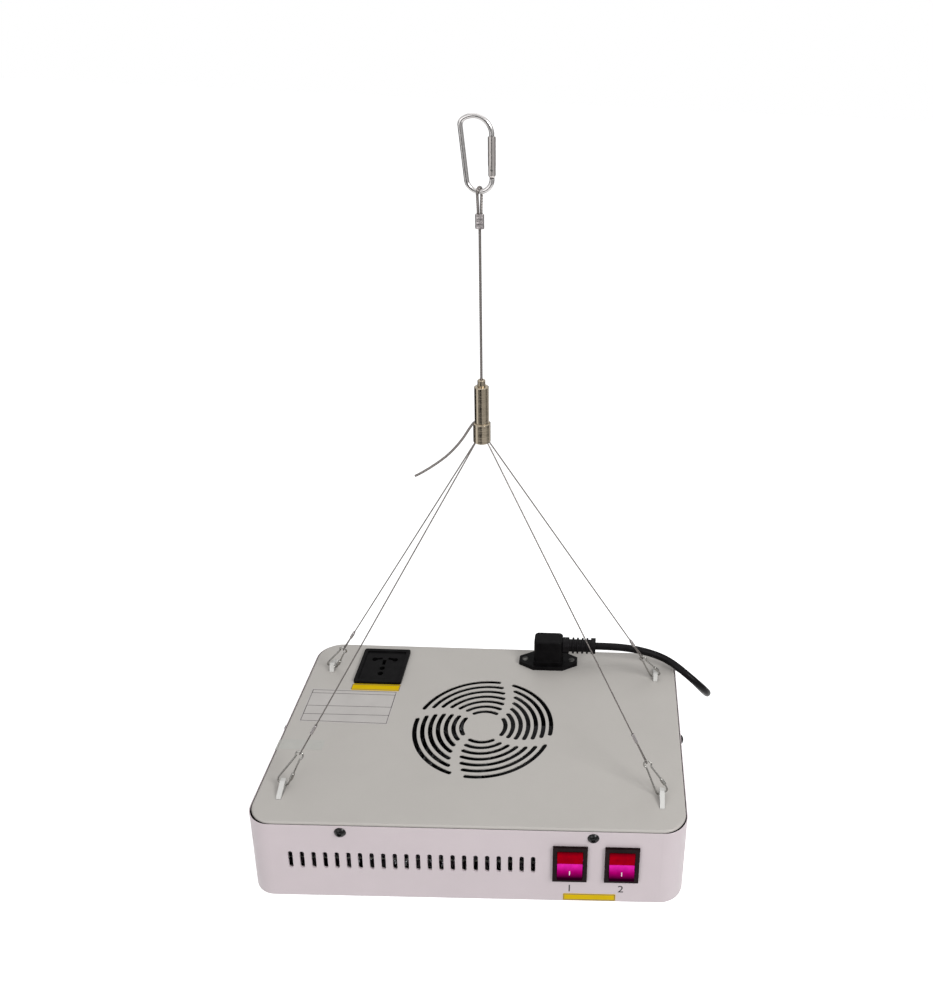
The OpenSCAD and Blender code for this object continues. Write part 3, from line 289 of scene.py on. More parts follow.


# Lit rocker, its light and shade painted by height: deep red in shade above the ridge, a painted
# highlight of bright magenta just below it, painted shade darkening downwards to the foot, and
# painted shade at the top edge
rockerShadeAndGlow = {
    # colours by height: painted shade on the upper half, its top edge and the foot, painted
    # highlight at the ridge and on the lower half
    "upper": (160, 0, 20),
    "shadedTopEdge": (120, 0, 16),
    "ridge": (222, 34, 166),
    "lower": (166, 0, 104),
    "foot": (36, 0, 22),
    "dark": (0.02, 0, 0.01, 1),  # clouding, as a shader value
    "halfHeight": 11.2,
    # shares of the height, from the lower end up
    "stops": [(0.08, "foot"), (0.26, "lower"), (0.46, "ridge"), (0.495, "ridge"),
              (0.505, "upper"), (0.85, "upper"), (1.0, "shadedTopEdge")],
    "roughness": 0.3, "glow": 0.18, "cloud": 4, "cloudShare": 0.25,
    "wave": 1.2, "waveDepth": 0.02, "waveStrength": 0.15, "edgeSize": 0.5,
}


def litRocker(name, node):
    mat = startMaterial(name, Roughness=rockerShadeAndGlow["roughness"], Specular_IOR_Level=0.0,
                        Emission_Strength=rockerShadeAndGlow["glow"])
    place = addNode(mat, "SeparateXYZ", {"Vector": objectPoint(mat)})
    half, middle = rockerShadeAndGlow["halfHeight"] * mm, middleOf(node).z
    height = mapRange(mat, place.outputs["Z"], middle - half, middle + half)
    # painted light and shade: the colour ramp runs up the rocker's height
    ramp = addNode(mat, "ValToRGB", {"Fac": height})
    stops = rockerShadeAndGlow["stops"]
    elements = ramp.color_ramp.elements
    while len(elements) < len(stops):
        elements.new(0.5)
    for element, (position, key) in zip(elements, stops):
        element.position = position
        element.color = tint(*rockerShadeAndGlow[key])
    cloud = blotches(mat, rockerShadeAndGlow["cloud"], rockerShadeAndGlow["cloudShare"], ramp.outputs["Color"],
                     rockerShadeAndGlow["dark"])
    # the glow of the switch's own lamp takes these painted colours
    setSurface(mat, Base_Color=cloud, Emission_Color=cloud)
    addWaves(mat, rockerShadeAndGlow, softEdge(mat, rockerShadeAndGlow["edgeSize"]))
    return mat


# Clear moulded resin of the lenses
resin = {"colour": (240, 240, 232), "cloud": 2, "cloudShade": 0.9,
         "wave": 1.5, "waveDepth": 0.01, "waveStrength": 0.1}


def clearLens(name):
    mat = startMaterial(name, Roughness=0.08, IOR=1.46, Transmission_Weight=0.75)
    setSurface(mat, Base_Color=clouded(mat, tint(*resin["colour"]), resin))
    addWaves(mat, resin)
    return mat


# each paint's second colour is the painted highlight on its edges
paints = {
    "coverPaint": {"colour": (193, 189, 184), "edgeHighlight": (212, 209, 204)},
    # the frame's white paint carries a painted pink cast standing in for the pink LED light on it
    "framePaint": {"colour": (215, 203, 207), "edgeHighlight": (228, 220, 222), "roughness": 0.42},
    "lugPaint": {"colour": (218, 217, 214), "edgeHighlight": (228, 227, 224), "roughness": 0.45},
    "boardMask": {"colour": (228, 228, 222), "edgeHighlight": (235, 235, 230), "roughness": 0.35},
    "driverGrey": {"colour": (120, 122, 124), "edgeHighlight": (150, 150, 150)},
}
paints["edgePaint"] = dict(paints["framePaint"], edgeSize=0.05)
plastics = {
    # painted shadow for the gap between lid and frame
    "sealBlack": {"colour": (6, 5, 6), "roughness": 0.6, "shine": 0.02, "edgeSize": 0.05},
    "blackOxide": {"colour": (4, 3, 4), "roughness": 0.18, "grain": 0.25, "depth": 0.003},
    "blackPlastic": {"colour": (10, 9, 10), "roughness": 0.36, "shine": 0.05},
    "switchPlastic": {"colour": (20, 6, 8), "roughness": 0.3, "grain": 0.3, "shine": 0.05},
    "leadRubber": {"colour": (11, 9, 11), "roughness": 0.36, "grain": 0.6, "depth": 0.02,
                   "shine": 0.1},
    "fanPlastic": {"colour": (18, 18, 19), "roughness": 0.5},
    "printInk": {"colour": (30, 28, 30), "roughness": 0.5, "edgeSize": 0.05},
    "ruleInk": {"colour": (84, 78, 80), "roughness": 0.5, "edgeSize": 0.05},
    "markWhite": {"colour": (235, 225, 232), "edgeSize": 0.05},
}
metals = {
    "contactBrass": {"colour": (206, 176, 112), "roughness": 0.3},
    "sinkAluminium": {"colour": (190, 192, 194), "roughness": 0.4, "stretch": (1, 0.1, 1)},
    "cupChrome": {"colour": (222, 223, 226), "roughness": 0.14, "dull": 0.95},
    "drawnSteel": {"colour": (138, 132, 129), "roughness": 0.32, "dull": 0.7},
    "screwSteel": {"colour": (196, 194, 190), "roughness": 0.25},
    "hookSteel": {"colour": (198, 195, 194), "roughness": 0.2, "grain": 0.8, "dull": 0.82},
    "gateSteel": {"colour": (196, 190, 187), "roughness": 0.24, "stretch": (1, 1, 0.05),
                  "dull": 0.85},
    "gripperNickel": {"colour": (172, 160, 141), "roughness": 0.15, "stretch": (0.15, 0.15, 3),
                      "dull": 0.86},
    "pressedSleeve": {"colour": (172, 166, 166), "roughness": 0.34, "grain": 0.7},
    "dimSteel": {"colour": (92, 91, 89), "roughness": 0.45},
    "springSteel": {"colour": (172, 170, 166), "roughness": 0.24},
}
films = {
    "whiteFilm": {"colour": (196, 192, 189)},
    "yellowFilm": {"colour": (224, 188, 4), "shine": 0.06},
    "greyFilm": {"colour": (190, 189, 184), "roughness": 0.3},
}
finishes = {"lensResin": clearLens("lensResin")}
for make, table in ((powderPaint, paints), (mouldedPlastic, plastics), (bareMetal, metals),
                    (filmSticker, films)):
    for name, settings in table.items():
        finishes[name] = make(name, **settings)
for side in switchSides:
    finishes[side + "Rocker"] = litRocker(side + "Rocker", side + "_rocker")

# CAD nodes that stay in view, by finish
nodeFinish = {
    "framePaint": "housing_frame",
    "lugPaint": "hanging_lugs",
    "blackOxide": "cover_screws",
    "blackPlastic": "inlet_socket angle_plug outlet_socket mains_plug",
    "switchPlastic": "left_switch right_switch",
    "leadRubber": "coil_tie",
    "fanPlastic": "fan_frame fan_rotor",
    "contactBrass": "inlet_pins mains_plug_pins",
    "sinkAluminium": "heat_sink",
    "boardMask": "led_board",
    "lensResin": "led_lenses",
    "cupChrome": "reflector",
    "driverGrey": "left_driver right_driver",
    "dimSteel": "inlet_screws",
    "screwSteel": "fan_screws reflector_screws grip_balls gate_rivet",
    "gateSteel": "hook_gate",
    "gripperNickel": "gripper_barrel gripper_collar release_plunger",
    "leftRocker": "left_rocker",
    "rightRocker": "right_rocker",
}
for finish, names in nodeFinish.items():
    for name in names.split():
        node = cadNodes[name]
        if not node.material_slots:
            node.data.materials.append(finishes[finish])
        for materialSlot in node.material_slots:
            materialSlot.material = finishes[finish]
print("finishes made:", len(finishes))


# Mesh helpers
def addObject(name, mesh, mat):
    data = bpy.data.meshes.new(name)
    mesh.to_mesh(data)
    mesh.free()
    data.materials.append(mat)
    piece = bpy.data.objects.new(name, data)
    scene.collection.objects.link(piece)
    return piece


def makePiece(name, mesh, finish, body="lamp", sharp=40, instead=None):
    # a piece of one finish, which may stand instead of a CAD node
    bmesh.ops.recalc_face_normals(mesh, faces=mesh.faces)
    piece = addObject(name, mesh, finishes[finish])
    piece.data.shade_smooth()
    piece.data.set_sharp_from_angle(angle=radians(sharp))
    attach(piece, body)
    if instead:
        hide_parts(instead)
    return piece


def boxLoop(x, y, width, length):
    return [(x + sx * width / 2, y + sy * length / 2)
            for sx, sy in ((-1, -1), (1, -1), (1, 1), (-1, 1))]


def smoothLine(points, step):
    # a curve through the points, in steps of about so many millimetres
    line = []
    last = len(points) - 1
    for i in range(last):
        before, start, end, after = (points[max(i - 1, 0)], points[i], points[i + 1],
                                     points[min(i + 2, last)])
        count = max(1, ceil((end - start).length / (step * mm)))
        for k in range(count):
            t = k / count
            line.append(0.5 * (2 * start + (end - before) * t
                               + (2 * before - 5 * start + 4 * end - after) * t ** 2
                               + (3 * start - before - 3 * end + after) * t ** 3))
    return line + [points[last].copy()]


def straightLine(start, end, step):
    count = max(1, ceil((end - start).length / (step * mm)))
    return [start.lerp(end, k / count) for k in range(count + 1)]


def roundSection(radius, sides):
    return [onCircle(radius, 360 * k / sides) for k in range(sides)]


def strandSection(radius, strands=6, steps=4, wrap=198):
    # outline of round strands laid about a core, each seen over wrap degrees of its round
    strand = radius / 3
    section = []
    for k in range(strands):
        turn = 360 * k / strands
        x, y = onCircle(radius - strand, turn)
        for i in range(steps):
            dx, dy = onCircle(strand, turn + ((i + 0.5) / steps - 0.5) * wrap)
            section.append((x + dx, y + dy))
    return section


def joinRings(mesh, first, second):
    count = len(first)
    for k in range(count):
        n = (k + 1) % count
        mesh.faces.new((first[k], first[n], second[n], second[k]))


def addTube(mesh, rings):
    # a closed tube through rings of points
    rings = [[mesh.verts.new(point) for point in ring] for ring in rings]
    for first, second in zip(rings, rings[1:]):
        joinRings(mesh, first, second)
    mesh.faces.new(rings[0][::-1])
    mesh.faces.new(rings[-1])


def addSweep(mesh, line, section, twist=0.0, taper=None):
    # a section led along a line, turned by twist per metre and sized by taper
    rings = []
    side = None
    run = 0.0
    last = len(line) - 1
    for i, point in enumerate(line):
        along = (line[min(i + 1, last)] - line[max(i - 1, 0)]).normalized()
        side = along.orthogonal() if side is None else side - along * side.dot(along)
        side.normalize()
        across = along.cross(side)
        if i:
            run += (point - line[i - 1]).length
        size = taper(i / last) if taper else 1.0
        turn = twist * run
        u = side * cos(turn) + across * sin(turn)
        v = across * cos(turn) - side * sin(turn)
        rings.append([point + (u * a + v * b) * size for a, b in section])
    addTube(mesh, rings)


def addPlateSheet(mesh, outline, toPlace, thickness):
    addTube(mesh, [[toPlace(x, y, height) for x, y in outline] for height in (0, thickness)])


def makeRope(name, lines, rope, instead, body="lamp"):
    mesh = bmesh.new()
    section = strandSection(rope["diameter"] / 2 * mm)
    for line in lines:
        addSweep(mesh, line, section, twist=2 * pi / (rope["lay"] * mm))
    return makePiece(name, mesh, "drawnSteel", body, 80, instead)


# Mains lead: out of the strain relief, down behind the rear right corner, and into a tied coil
mainsLead = {
    "diameter": 6.2,
    "length": 1.5,  # metres
    "route": [
        (0, 0, 0), (12, 0, 0), (23, 0, -0.5), (34, -0.3, -1.8), (45, -0.9, -4), (56, -1.8, -7.2),
        (64.7, -3.9, -10.6), (72.5, -8.3, -13.8), (80.1, -12.6, -17.8), (87.4, -14.2, -23.6),
        (93.8, -12.9, -30.6), (98.3, -8.8, -38), (100.4, -2.5, -44.8), (100, 5.4, -50.2),
        (98.4, 13.8, -54.5), (96.6, 22.4, -58.2), (93.8, 31.2, -60.9), (89.7, 39.7, -62.5),
        (84.6, 47.8, -63), (78.2, 54.7, -62.6), (70.4, 59.7, -61.9), (62.1, 62.4, -61.1),
        (53.2, 63.1, -60.6), (43.7, 63.1, -60.8), (34.6, 62.3, -61.9), (26.7, 61.1, -63.8),
        (18.6, 59.7, -66.3), (10, 58.3, -69.2), (1.2, 57.1, -71.6), (-8.3, 56.8, -72.4),
    ],
    "coilTop": (-17.9, 56.8, -72.4),
    "turnRadius": 39.5,
    "layer": 6.4,
    # where each turn climbs into the next one: start and length in degrees
    "climbs": [(225, 60), (165, 95), (140, 60), (140, 60), (90, 95)],
    "lastTurn": 90, "step": 15,  # degrees in the last turn, and between points of the coil
    "endDrop": 30, "endPoints": 3,
    "smooth": 6,
}
bootLow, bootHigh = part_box("lead_boot")
bootMiddle = middleOf("lead_boot")


def coilPoints():
    outer, layer, climbs = pick(mainsLead, "turnRadius layer climbs")
    inner = outer - layer
    # each turn's radius and row
    turns = [(outer, 0), (outer, -layer), (inner, -layer), (inner, 0), (inner, layer),
             (outer, layer)]
    middle = Vector(mainsLead["coilTop"]) - Vector((0, 0, outer))
    points = []
    for degrees in range(0, len(climbs) * 360 + mainsLead["lastTurn"] + 1, mainsLead["step"]):
        turn, rest = divmod(degrees, 360)
        radius, row = turns[turn]
        if turn < len(climbs):
            start, length = climbs[turn]
            share = min(1, max(0, (rest - start) / length))
            share = share * share * (3 - 2 * share)
            radius += (turns[turn + 1][0] - radius) * share
            row += (turns[turn + 1][1] - row) * share
        x, z = onCircle(radius, 90 + degrees)
        points.append(middle + Vector((x, row, z)))
    count = mainsLead["endPoints"]
    drops = [mainsLead["endDrop"] * k / count for k in range(1, count + 1)]
    return points + [points[-1] - Vector((0, 0, drop)) for drop in drops]


def makeMainsLead():
    start = Vector((bootHigh.x, bootMiddle.y, bootMiddle.z))
    points = [start + Vector(point) * mm for point in mainsLead["route"] + coilPoints()]
    curve = bpy.data.curves.new("mainsLead", "CURVE")
    curve.dimensions = "3D"
    curve.bevel_depth = mainsLead["diameter"] / 2 * mm
    curve.bevel_resolution = mainsLead["smooth"]
    curve.use_fill_caps = True
    spline = curve.splines.new("NURBS")
    spline.points.add(len(points) - 1)
    for target, point in zip(spline.points, points):
        target.co = (*point, 1)
    spline.order_u = 4
    spline.use_endpoint_u = True
    spline.resolution_u = mainsLead["smooth"]
    curve.materials.append(finishes["leadRubber"])
    lead = bpy.data.objects.new("mainsLead", curve)
    scene.collection.objects.link(lead)
    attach(lead, "lamp")
    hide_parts("lead_run", "lead_coil")


# Strain relief at the plug: a thick neck, ribs round a slim core and a wide end ring
leadBoot = {
    "core": 5.3, "edge": 0.3, "sides": 32,
    # start, length and radius of each
    "rings": [(0, 5.5, 6.8), (8.1, 1.7, 6.8), (12, 1.7, 6.75), (16.1, 1.7, 6.7), (20.2, 1.7, 6.7),
              (24.2, 4.1, 6.7)],
}


def makeLeadBoot():
    core, edge = leadBoot["core"], leadBoot["edge"]
    profile = []
    for start, length, radius in leadBoot["rings"]:
        end = start + length
        profile += [(start, core), (start, radius - edge), (start + edge, radius),
                    (end - edge, radius), (end, radius - edge), (end, core)]
    start = Vector((bootLow.x, bootMiddle.y, bootMiddle.z))
    mesh = bmesh.new()
    addTube(mesh, [[start + Vector((along, y, z)) * mm
                    for y, z in roundSection(radius, leadBoot["sides"])]
                   for along, radius in profile])
    makePiece("leadBoot", mesh, "leadRubber", sharp=30, instead="lead_boot")


makeMainsLead()
makeLeadBoot()
print("mains lead laid")

# Free end of the main cable, from the port above the collar
cableTail = {
    "diameter": 1.8,
    "length": 0.065,  # metres
    "lay": 11,
    "step": 0.5,
    "route": [
        (-1.9, 1.95), (-3.4, 1.05), (-5, -0.1), (-6.3, -1.5), (-7.5, -3.2), (-9.6, -6.7),
        (-13.2, -12.7), (-17.8, -19), (-23, -25), (-29, -30.5), (-36, -36), (-43, -40.8),
        (-47.3, -43.4),
    ],
}
collarLow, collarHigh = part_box("gripper_collar")


def makeCableTail():
    points = [Vector((x * mm, 0, collarHigh.z + z * mm)) for x, z in cableTail["route"]]
    line = smoothLine(points, cableTail["step"])
    tail = makeRope("cableTail", [line], cableTail, "cable_tail")


makeCableTail()
print("cable tail laid")

# Main cable: one taut stranded rope, on a mesh of its own
mainCable = {"diameter": 1.8, "lay": 11, "step": 0.6, "travel": 85}


def makeMainCable():
    low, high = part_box("main_cable")
    top, bottom = Vector((0, 0, high.z)), Vector((0, 0, low.z))
    line = straightLine(top, bottom, mainCable["step"])
    cable = makeRope("mainCable", [line], mainCable, "main_cable", "drop_line")
    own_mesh(cable)


makeMainCable()

# Spring under the plunger's flange, close wound at both ends, on a mesh of its own
plungerSpring = {"wire": 0.5, "turns": 6, "closedPitch": 0.55, "travel": 3, "step": 15, "sides": 8}


def makePlungerSpring():
    low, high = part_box("plunger_spring")
    wire, turns, closed = pick(plungerSpring, "wire turns closedPitch")
    radius = (high.x - low.x) / 2 - wire / 2 * mm
    tall = (high.z - low.z) / mm
    openPitch = (tall - wire - 2 * closed) / (turns - 2)
    line = []
    for degrees in range(0, turns * 360 + 1, plungerSpring["step"]):
        turn = degrees / 360
        height = wire / 2 + closed * (min(turn, 1) + max(0, turn - turns + 1))
        height += openPitch * min(max(0, turn - 1), turns - 2)
        x, y = onCircle(radius, degrees)
        line.append(Vector((x, y, low.z + height * mm)))
    mesh = bmesh.new()
    addSweep(mesh, line, roundSection(wire / 2 * mm, plungerSpring["sides"]))
    spring = makePiece("plungerSpring", mesh, "springSteel", sharp=80,
                       instead="plunger_spring")
    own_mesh(spring)


makePlungerSpring()

# Eye of the main cable round the hook's lower bow, and its pressed sleeve
cableEye = {"deep": 2.85, "half": 1.0, "legLength": 14.1, "legSteps": 6, "step": 0.5}
sleeve = {"half": 1.1, "radius": 1.75, "presses": 3, "pressDepth": 0.22, "round": 0.35}


def makeCableEye():
    half, deep, length, steps = pick(cableEye, "half deep legLength legSteps")
    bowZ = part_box("cable_ferrule")[1].z + length * mm
    leg = [(half, deep * (1 + cos(pi * k / steps)) / 2, -length * k / steps)
           for k in range(steps, -1, -1)]
    arch = [(half * cos(radians(a)), *onCircle(deep, a)) for a in range(20, 161, 20)]
    outline = leg + arch + [(-x, -y, z) for x, y, z in reversed(leg)]
    points = [Vector((x * mm, y * mm, bowZ + z * mm)) for x, y, z in outline]
    line = smoothLine(points, cableEye["step"])
    makeRope("cableEye", [line], mainCable, "cable_eye", "drop_line")


def addSleeve(mesh, size, length, place, sides=28, steps=36, bulge=0.35):
    # an oval tube with pressed waists, along its own Z, put in place by a matrix
    half, radius, lipRound = pick(size, "half radius round")
    outline = []
    for k in range(sides):
        x, y = onCircle(radius, 360 * (k + 0.5) / sides)
        outline.append((x + (half if x > 0 else -half), y))
    rings = []
    for i in range(steps + 1):
        share = i / steps
        edge = min(share, 1 - share) * length
        lip = lipRound - sqrt(max(0, lipRound ** 2 - max(0, lipRound - edge) ** 2))
        press = size["pressDepth"] * (0.5 - 0.5 * cos(2 * pi * size["presses"] * share)) ** 2
        narrow = 1 - (lip + press) / radius
        grow = 1 + (bulge * press - lip) / (half + radius)
        rings.append([place @ (Vector((x * grow, y * narrow, share * length)) * mm)
                      for x, y in outline])
    addTube(mesh, rings)


def makeCableSleeve():
    low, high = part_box("cable_ferrule")
    mesh = bmesh.new()
    addSleeve(mesh, sleeve, (high.z - low.z) / mm, Matrix.Translation((0, 0, low.z)))
    makePiece("cableSleeve", mesh, "pressedSleeve", "drop_line", 50, "cable_ferrule")


makeCableEye()
makeCableSleeve()
print("main cable, spring, eye and sleeve made")

# Snap hook: one bent rod, from the nose over the top bow, down the back and to the gate's tongue
hook = {
    "rod": 3.2, "sides": 28,
    "topMiddle": (-3.089, -8.972), "topRadius": 11.089,
    "cornerMiddle": (-6.962, -3.642), "cornerRadius": 4.5, "cornerStart": 126,
    "lowMiddle": (0, -36.393), "lowRadius": 8,
    "lean": 6, "nose": 0.8, "steps": (5, 8, 6),  # degrees between the arcs' points
    "stubTop": -36.193, "pivot": -30.393,
    "tongue": 1.8, "tongueHalf": 1.44, "tongueRoot": 1,
}


def makeHook():
    def arc(middle, radius, start, end, step):
        count = ceil((end - start) / step)
        spots = [onCircle(radius, start + (end - start) * k / count) for k in range(count + 1)]
        return [Vector((middle[0] + x, 0, middle[1] + z)) * mm for x, z in spots]

    back = 180 + hook["lean"]
    topStep, cornerStep, lowStep = hook["steps"]
    noseX = hook["lowRadius"]
    line = [Vector((noseX, 0, hook["topMiddle"][1] - hook["nose"])) * mm]
    corner = hook["cornerStart"]
    line += arc(hook["topMiddle"], hook["topRadius"], 0, corner, topStep)
    line += arc(hook["cornerMiddle"], hook["cornerRadius"], corner, back, cornerStep)[1:]
    line += arc(hook["lowMiddle"], hook["lowRadius"], back, 360, lowStep)
    line.append(Vector((noseX, 0, hook["stubTop"])) * mm)
    mesh = bmesh.new()
    addSweep(mesh, line, roundSection(hook["rod"] / 2 * mm, hook["sides"]))

    # tongue that the gate's fork turns on
    half, root = hook["tongueHalf"], hook["stubTop"] - hook["tongueRoot"]
    outline = [(-half, root), (half, root)]
    for a in range(0, 181, 15):
        x, z = onCircle(half, a)
        outline.append((x, hook["pivot"] + z))
    addTube(mesh, [[Vector((noseX + x, y, z)) * mm for x, z in outline]
                   for y in (-hook["tongue"] / 2, hook["tongue"] / 2)])
    makePiece("snapHook", mesh, "hookSteel", "hanger", 45, "hook_body")


makeHook()
print("snap hook made")

# The four corners: leg wire with its loop and sleeve, and the spring clip in the lug's hole
legWire = {
    "diameter": 1.0, "lay": 6.5, "step": 0.6, "loopStep": 0.4, "exitRadius": 4.6,
    "loopRadius": 1.55, "loopLength": 19, "crimpLength": 7, "crimpLap": 1,
}
legSleeve = {"half": 0.55, "radius": 1.05, "presses": 2, "pressDepth": 0.14, "round": 0.25}
clip = {
    "wire": 1.3, "width": 9.5, "length": 24.5, "turn": 1.6, "shift": 0.8, "play": 0.1,
    "eyeRadius": 2.8, "eyeTurn": (200, -20),  # degrees
    "neckHalf": 1.96, "neckDrop": 2.52, "neckSide": 0.715,
    "catchLow": 5, "catchHigh": 10.5, "catchEnd": 0.72, "catchRound": 1 / 8,
    "step": 0.5, "sides": 14, "catchStep": 0.2, "catchSides": 20,
}
lug = {"x": 137, "y": 66, "top": 1.2, "hole": 2, "thickness": 3.6}
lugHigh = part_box("hanging_lugs")[1]
corners = {
    "frontLeft": (-1, -1, "front_left"), "frontRight": (1, -1, "front_right"),
    "rearLeft": (-1, 1, "rear_left"), "rearRight": (1, 1, "rear_right"),
}


def legPlace(sx, sy):
    # a matrix with its origin in the lug's hole, Z along the wire and X as level as it can be
    x, y = sx * lug["x"], sy * lug["y"]
    foot = Vector((x * mm, y * mm, lugHigh.z - (lug["top"] + lug["hole"]) * mm))
    head = Vector((x, y, 0)).normalized() * legWire["exitRadius"] * mm
    head.z = collarLow.z
    along = (head - foot).normalized()
    level = (Vector((1, 0, 0)) - along * along.x).normalized()
    turn = Matrix((level, along.cross(level), along)).transposed().to_4x4()
    # how far the clip is pulled up in the hole of a lug that leans to the wire
    lean = asin(abs(along.x))
    slope = lug["thickness"] / 2 * sin(lean) / cos(lean)
    lift = (lug["hole"] - clip["play"] - slope) * cos(lean) - clip["wire"] / 2
    return Matrix.Translation(foot) @ turn, (head - foot).length / mm, lift


def makeLegWire(corner, place, span, lift):
    eyeZ = lift + clip["length"]
    loopZ = eyeZ + clip["eyeRadius"]
    crimpZ = eyeZ + legWire["loopLength"]
    radius, half, lap = legWire["loopRadius"], legSleeve["half"], legWire["crimpLap"]
    outline = [(-half, crimpZ + lap), (-half, crimpZ), (-radius, loopZ + radius)]
    for a in range(180, 361, 20):
        y, z = onCircle(radius, a)
        outline.append((y, loopZ + z))
    outline += [(radius, loopZ + radius), (half, crimpZ), (half, crimpZ + lap)]
    loop = [place @ (Vector((0, y, z)) * mm) for y, z in outline]
    start = place @ Vector((0, 0, (crimpZ + legWire["crimpLength"] - lap) * mm))
    end = place @ Vector((0, 0, (span + legWire["exitRadius"]) * mm))
    lines = [smoothLine(loop, legWire["loopStep"]), straightLine(start, end, legWire["step"])]
    makeRope("legWire." + corner, lines, legWire, "leg_wire_" + corners[corner][2])
    return place @ Matrix.Translation((0, 0, crimpZ * mm)) @ Matrix.Rotation(pi / 2, 4, "Z")


def makeClip(corner, place, lift):
    half = clip["width"] / 2 - clip["wire"] / 2
    shift = corners[corner][0] * clip["shift"]
    turn, side, low, high = pick(clip, "turn neckSide catchLow catchHigh")
    neckX, neckZ = clip["neckHalf"], clip["length"] - clip["neckDrop"]

    def bend(s, a):
        x, z = onCircle(turn, a)
        return (shift + s * (half - turn + x), 0, turn - z)

    def legX(z):
        return shift + half + (neckX - half - shift) * (z - low) / (neckZ - low)

    def lifted(x, y, z):
        return place @ (Vector((x, y, z + lift)) * mm)

    outline = [(shift + half, 0, low)]
    outline += [bend(1, a) for a in range(0, 91, 15)] + [bend(-1, a) for a in range(90, -1, -15)]
    outline += [(shift - half, 0, low), (-neckX, side, neckZ)]
    eyeStart, eyeEnd = clip["eyeTurn"]
    for a in range(eyeStart, eyeEnd - 1, -20):
        x, z = onCircle(clip["eyeRadius"], a)
        y = side * (1 - 2 * (eyeStart - a) / (eyeStart - eyeEnd))
        outline.append((x, y, clip["length"] + z))
    outline += [(neckX, -side, neckZ), (legX(high), 0, high)]
    mesh = bmesh.new()
    wireLine = smoothLine([lifted(*point) for point in outline], clip["step"])
    addSweep(mesh, wireLine, roundSection(clip["wire"] / 2 * mm, clip["sides"]))

    # the catch: the wire's end is rolled into a sleeve round the other leg
    def rolled(share):
        edge = min(share, 1 - share) / clip["catchRound"]
        return clip["catchEnd"] + (1 - clip["catchEnd"]) * sqrt(max(0, 1 - max(0, 1 - edge) ** 2))

    catchLine = straightLine(lifted(legX(low), 0, low), lifted(legX(high), 0, high),
                             clip["catchStep"])
    addSweep(mesh, catchLine, roundSection(clip["wire"] * mm, clip["catchSides"]), taper=rolled)
    makePiece("springClip." + corner, mesh, "springSteel", sharp=50,
              instead="clip_" + corners[corner][2])


def makeCorners():
    sleeves = bmesh.new()
    for corner, (sx, sy, node) in corners.items():
        place, span, lift = legPlace(sx, sy)
        crimpPlace = makeLegWire(corner, place, span, lift)
        addSleeve(sleeves, legSleeve, legWire["crimpLength"], crimpPlace)
        makeClip(corner, place, lift)
    makePiece("legSleeves", sleeves, "pressedSleeve", sharp=50, instead="leg_crimps")


makeCorners()
print("leg wires and clips made")

# Cover: a thin folded lid with its grille and openings
cover = {
    "sheet": 0.9, "fold": 1.6, "foldSteps": 10, "hem": 1.1, "corner": 18.2, "flat": 0.999,
    # how far the lid's edge stands in from the casing's walls; below 0 it stands out
    "sides": 1.0, "front": 1.3, "rear": -0.5,
    "grille": {"middle": (-1.5, 1.5), "rings": 7, "radius": 17.3, "pitch": 6.02, "slot": 3.5,
               "bridge": (5.1, 9.4), "start": 46, "turn": 30},
    # openings: middle and size, or radius
    "boxes": [(-95.7, 70, 35.8, 40), (44.5, 83, 27.4, 19.4)],
    "lugs": (137, 70, 4, 16.4),
    "screws": [(24.5, 83, 1.7), (64.5, 83, 1.7)], "screwSides": 18,
}
# the frame's upper edge round the lid, and a black band that paints the shadow in the gap between
frameEdge = {"corner": 17.5, "thickness": 0.5, "proud": 0.06, "top": -1.0, "low": -4.9,
             "chamfer": (0.12, 0.1)}
gapShadow = {"inset": (0.5, 4.5), "top": -2.6, "low": -3.4}


def cornerLoop(left, right, front, rear, radius, sides=12):
    # a rounded outline on the plate: place and outward direction of each point
    loop = []
    for x, y, start in ((right - radius, front + radius, -90), (right - radius, rear - radius, 0),
                        (left + radius, rear - radius, 90), (left + radius, front + radius, 180)):
        for k in range(sides + 1):
            nx, ny = onCircle(1, start + 90 * k / sides)
            loop.append((x + radius * nx, y + radius * ny, nx, ny))
    return loop


def addLoop(mesh, loop, reach, z):
    return [mesh.verts.new(onPlate(x + nx * reach, y + ny * reach, z)) for x, y, nx, ny in loop]


def slotLoop(middle, radius, start, end, width, caps=8):
    def spot(r, a, side=0.0, turn=0.0):
        x, y = onCircle(r, a)
        dx, dy = onCircle(side, turn)
        return (middle[0] + x + dx, middle[1] + y + dy)

    half = width / 2
    steps = ceil((end - start) / 3)
    angles = [start + (end - start) * k / steps for k in range(steps + 1)]
    loop = [spot(radius + half, a) for a in angles]
    loop += [spot(radius, end, half, end + 180 * k / caps) for k in range(1, caps)]
    loop += [spot(radius - half, a) for a in reversed(angles)]
    loop += [spot(radius, start, half, start + 180 + 180 * k / caps) for k in range(1, caps)]
    return loop


def coverOpenings():
    grille = cover["grille"]
    narrow, wide = grille["bridge"]
    loops = []
    for k in range(grille["rings"]):
        share = k / (grille["rings"] - 1)
        radius = grille["radius"] + k * grille["pitch"]
        bridge = narrow + share * (wide - narrow)
        half = asin((bridge + grille["slot"]) / 2 / radius) * 180 / pi
        for quarter in range(4):
            start = grille["start"] + grille["turn"] * share + 90 * quarter
            loops.append(slotLoop(grille["middle"], radius, start + half, start + 90 - half,
                                  grille["slot"]))
    x, y, width, length = cover["lugs"]
    boxes = cover["boxes"] + [(sx * x, sy * y, width, length) for sx in (-1, 1) for sy in (-1, 1)]
    loops += [boxLoop(*box) for box in boxes]
    for x, y, radius in cover["screws"]:
        loops.append([(x + dx, y + dy) for dx, dy in roundSection(radius, cover["screwSides"])])
    return loops


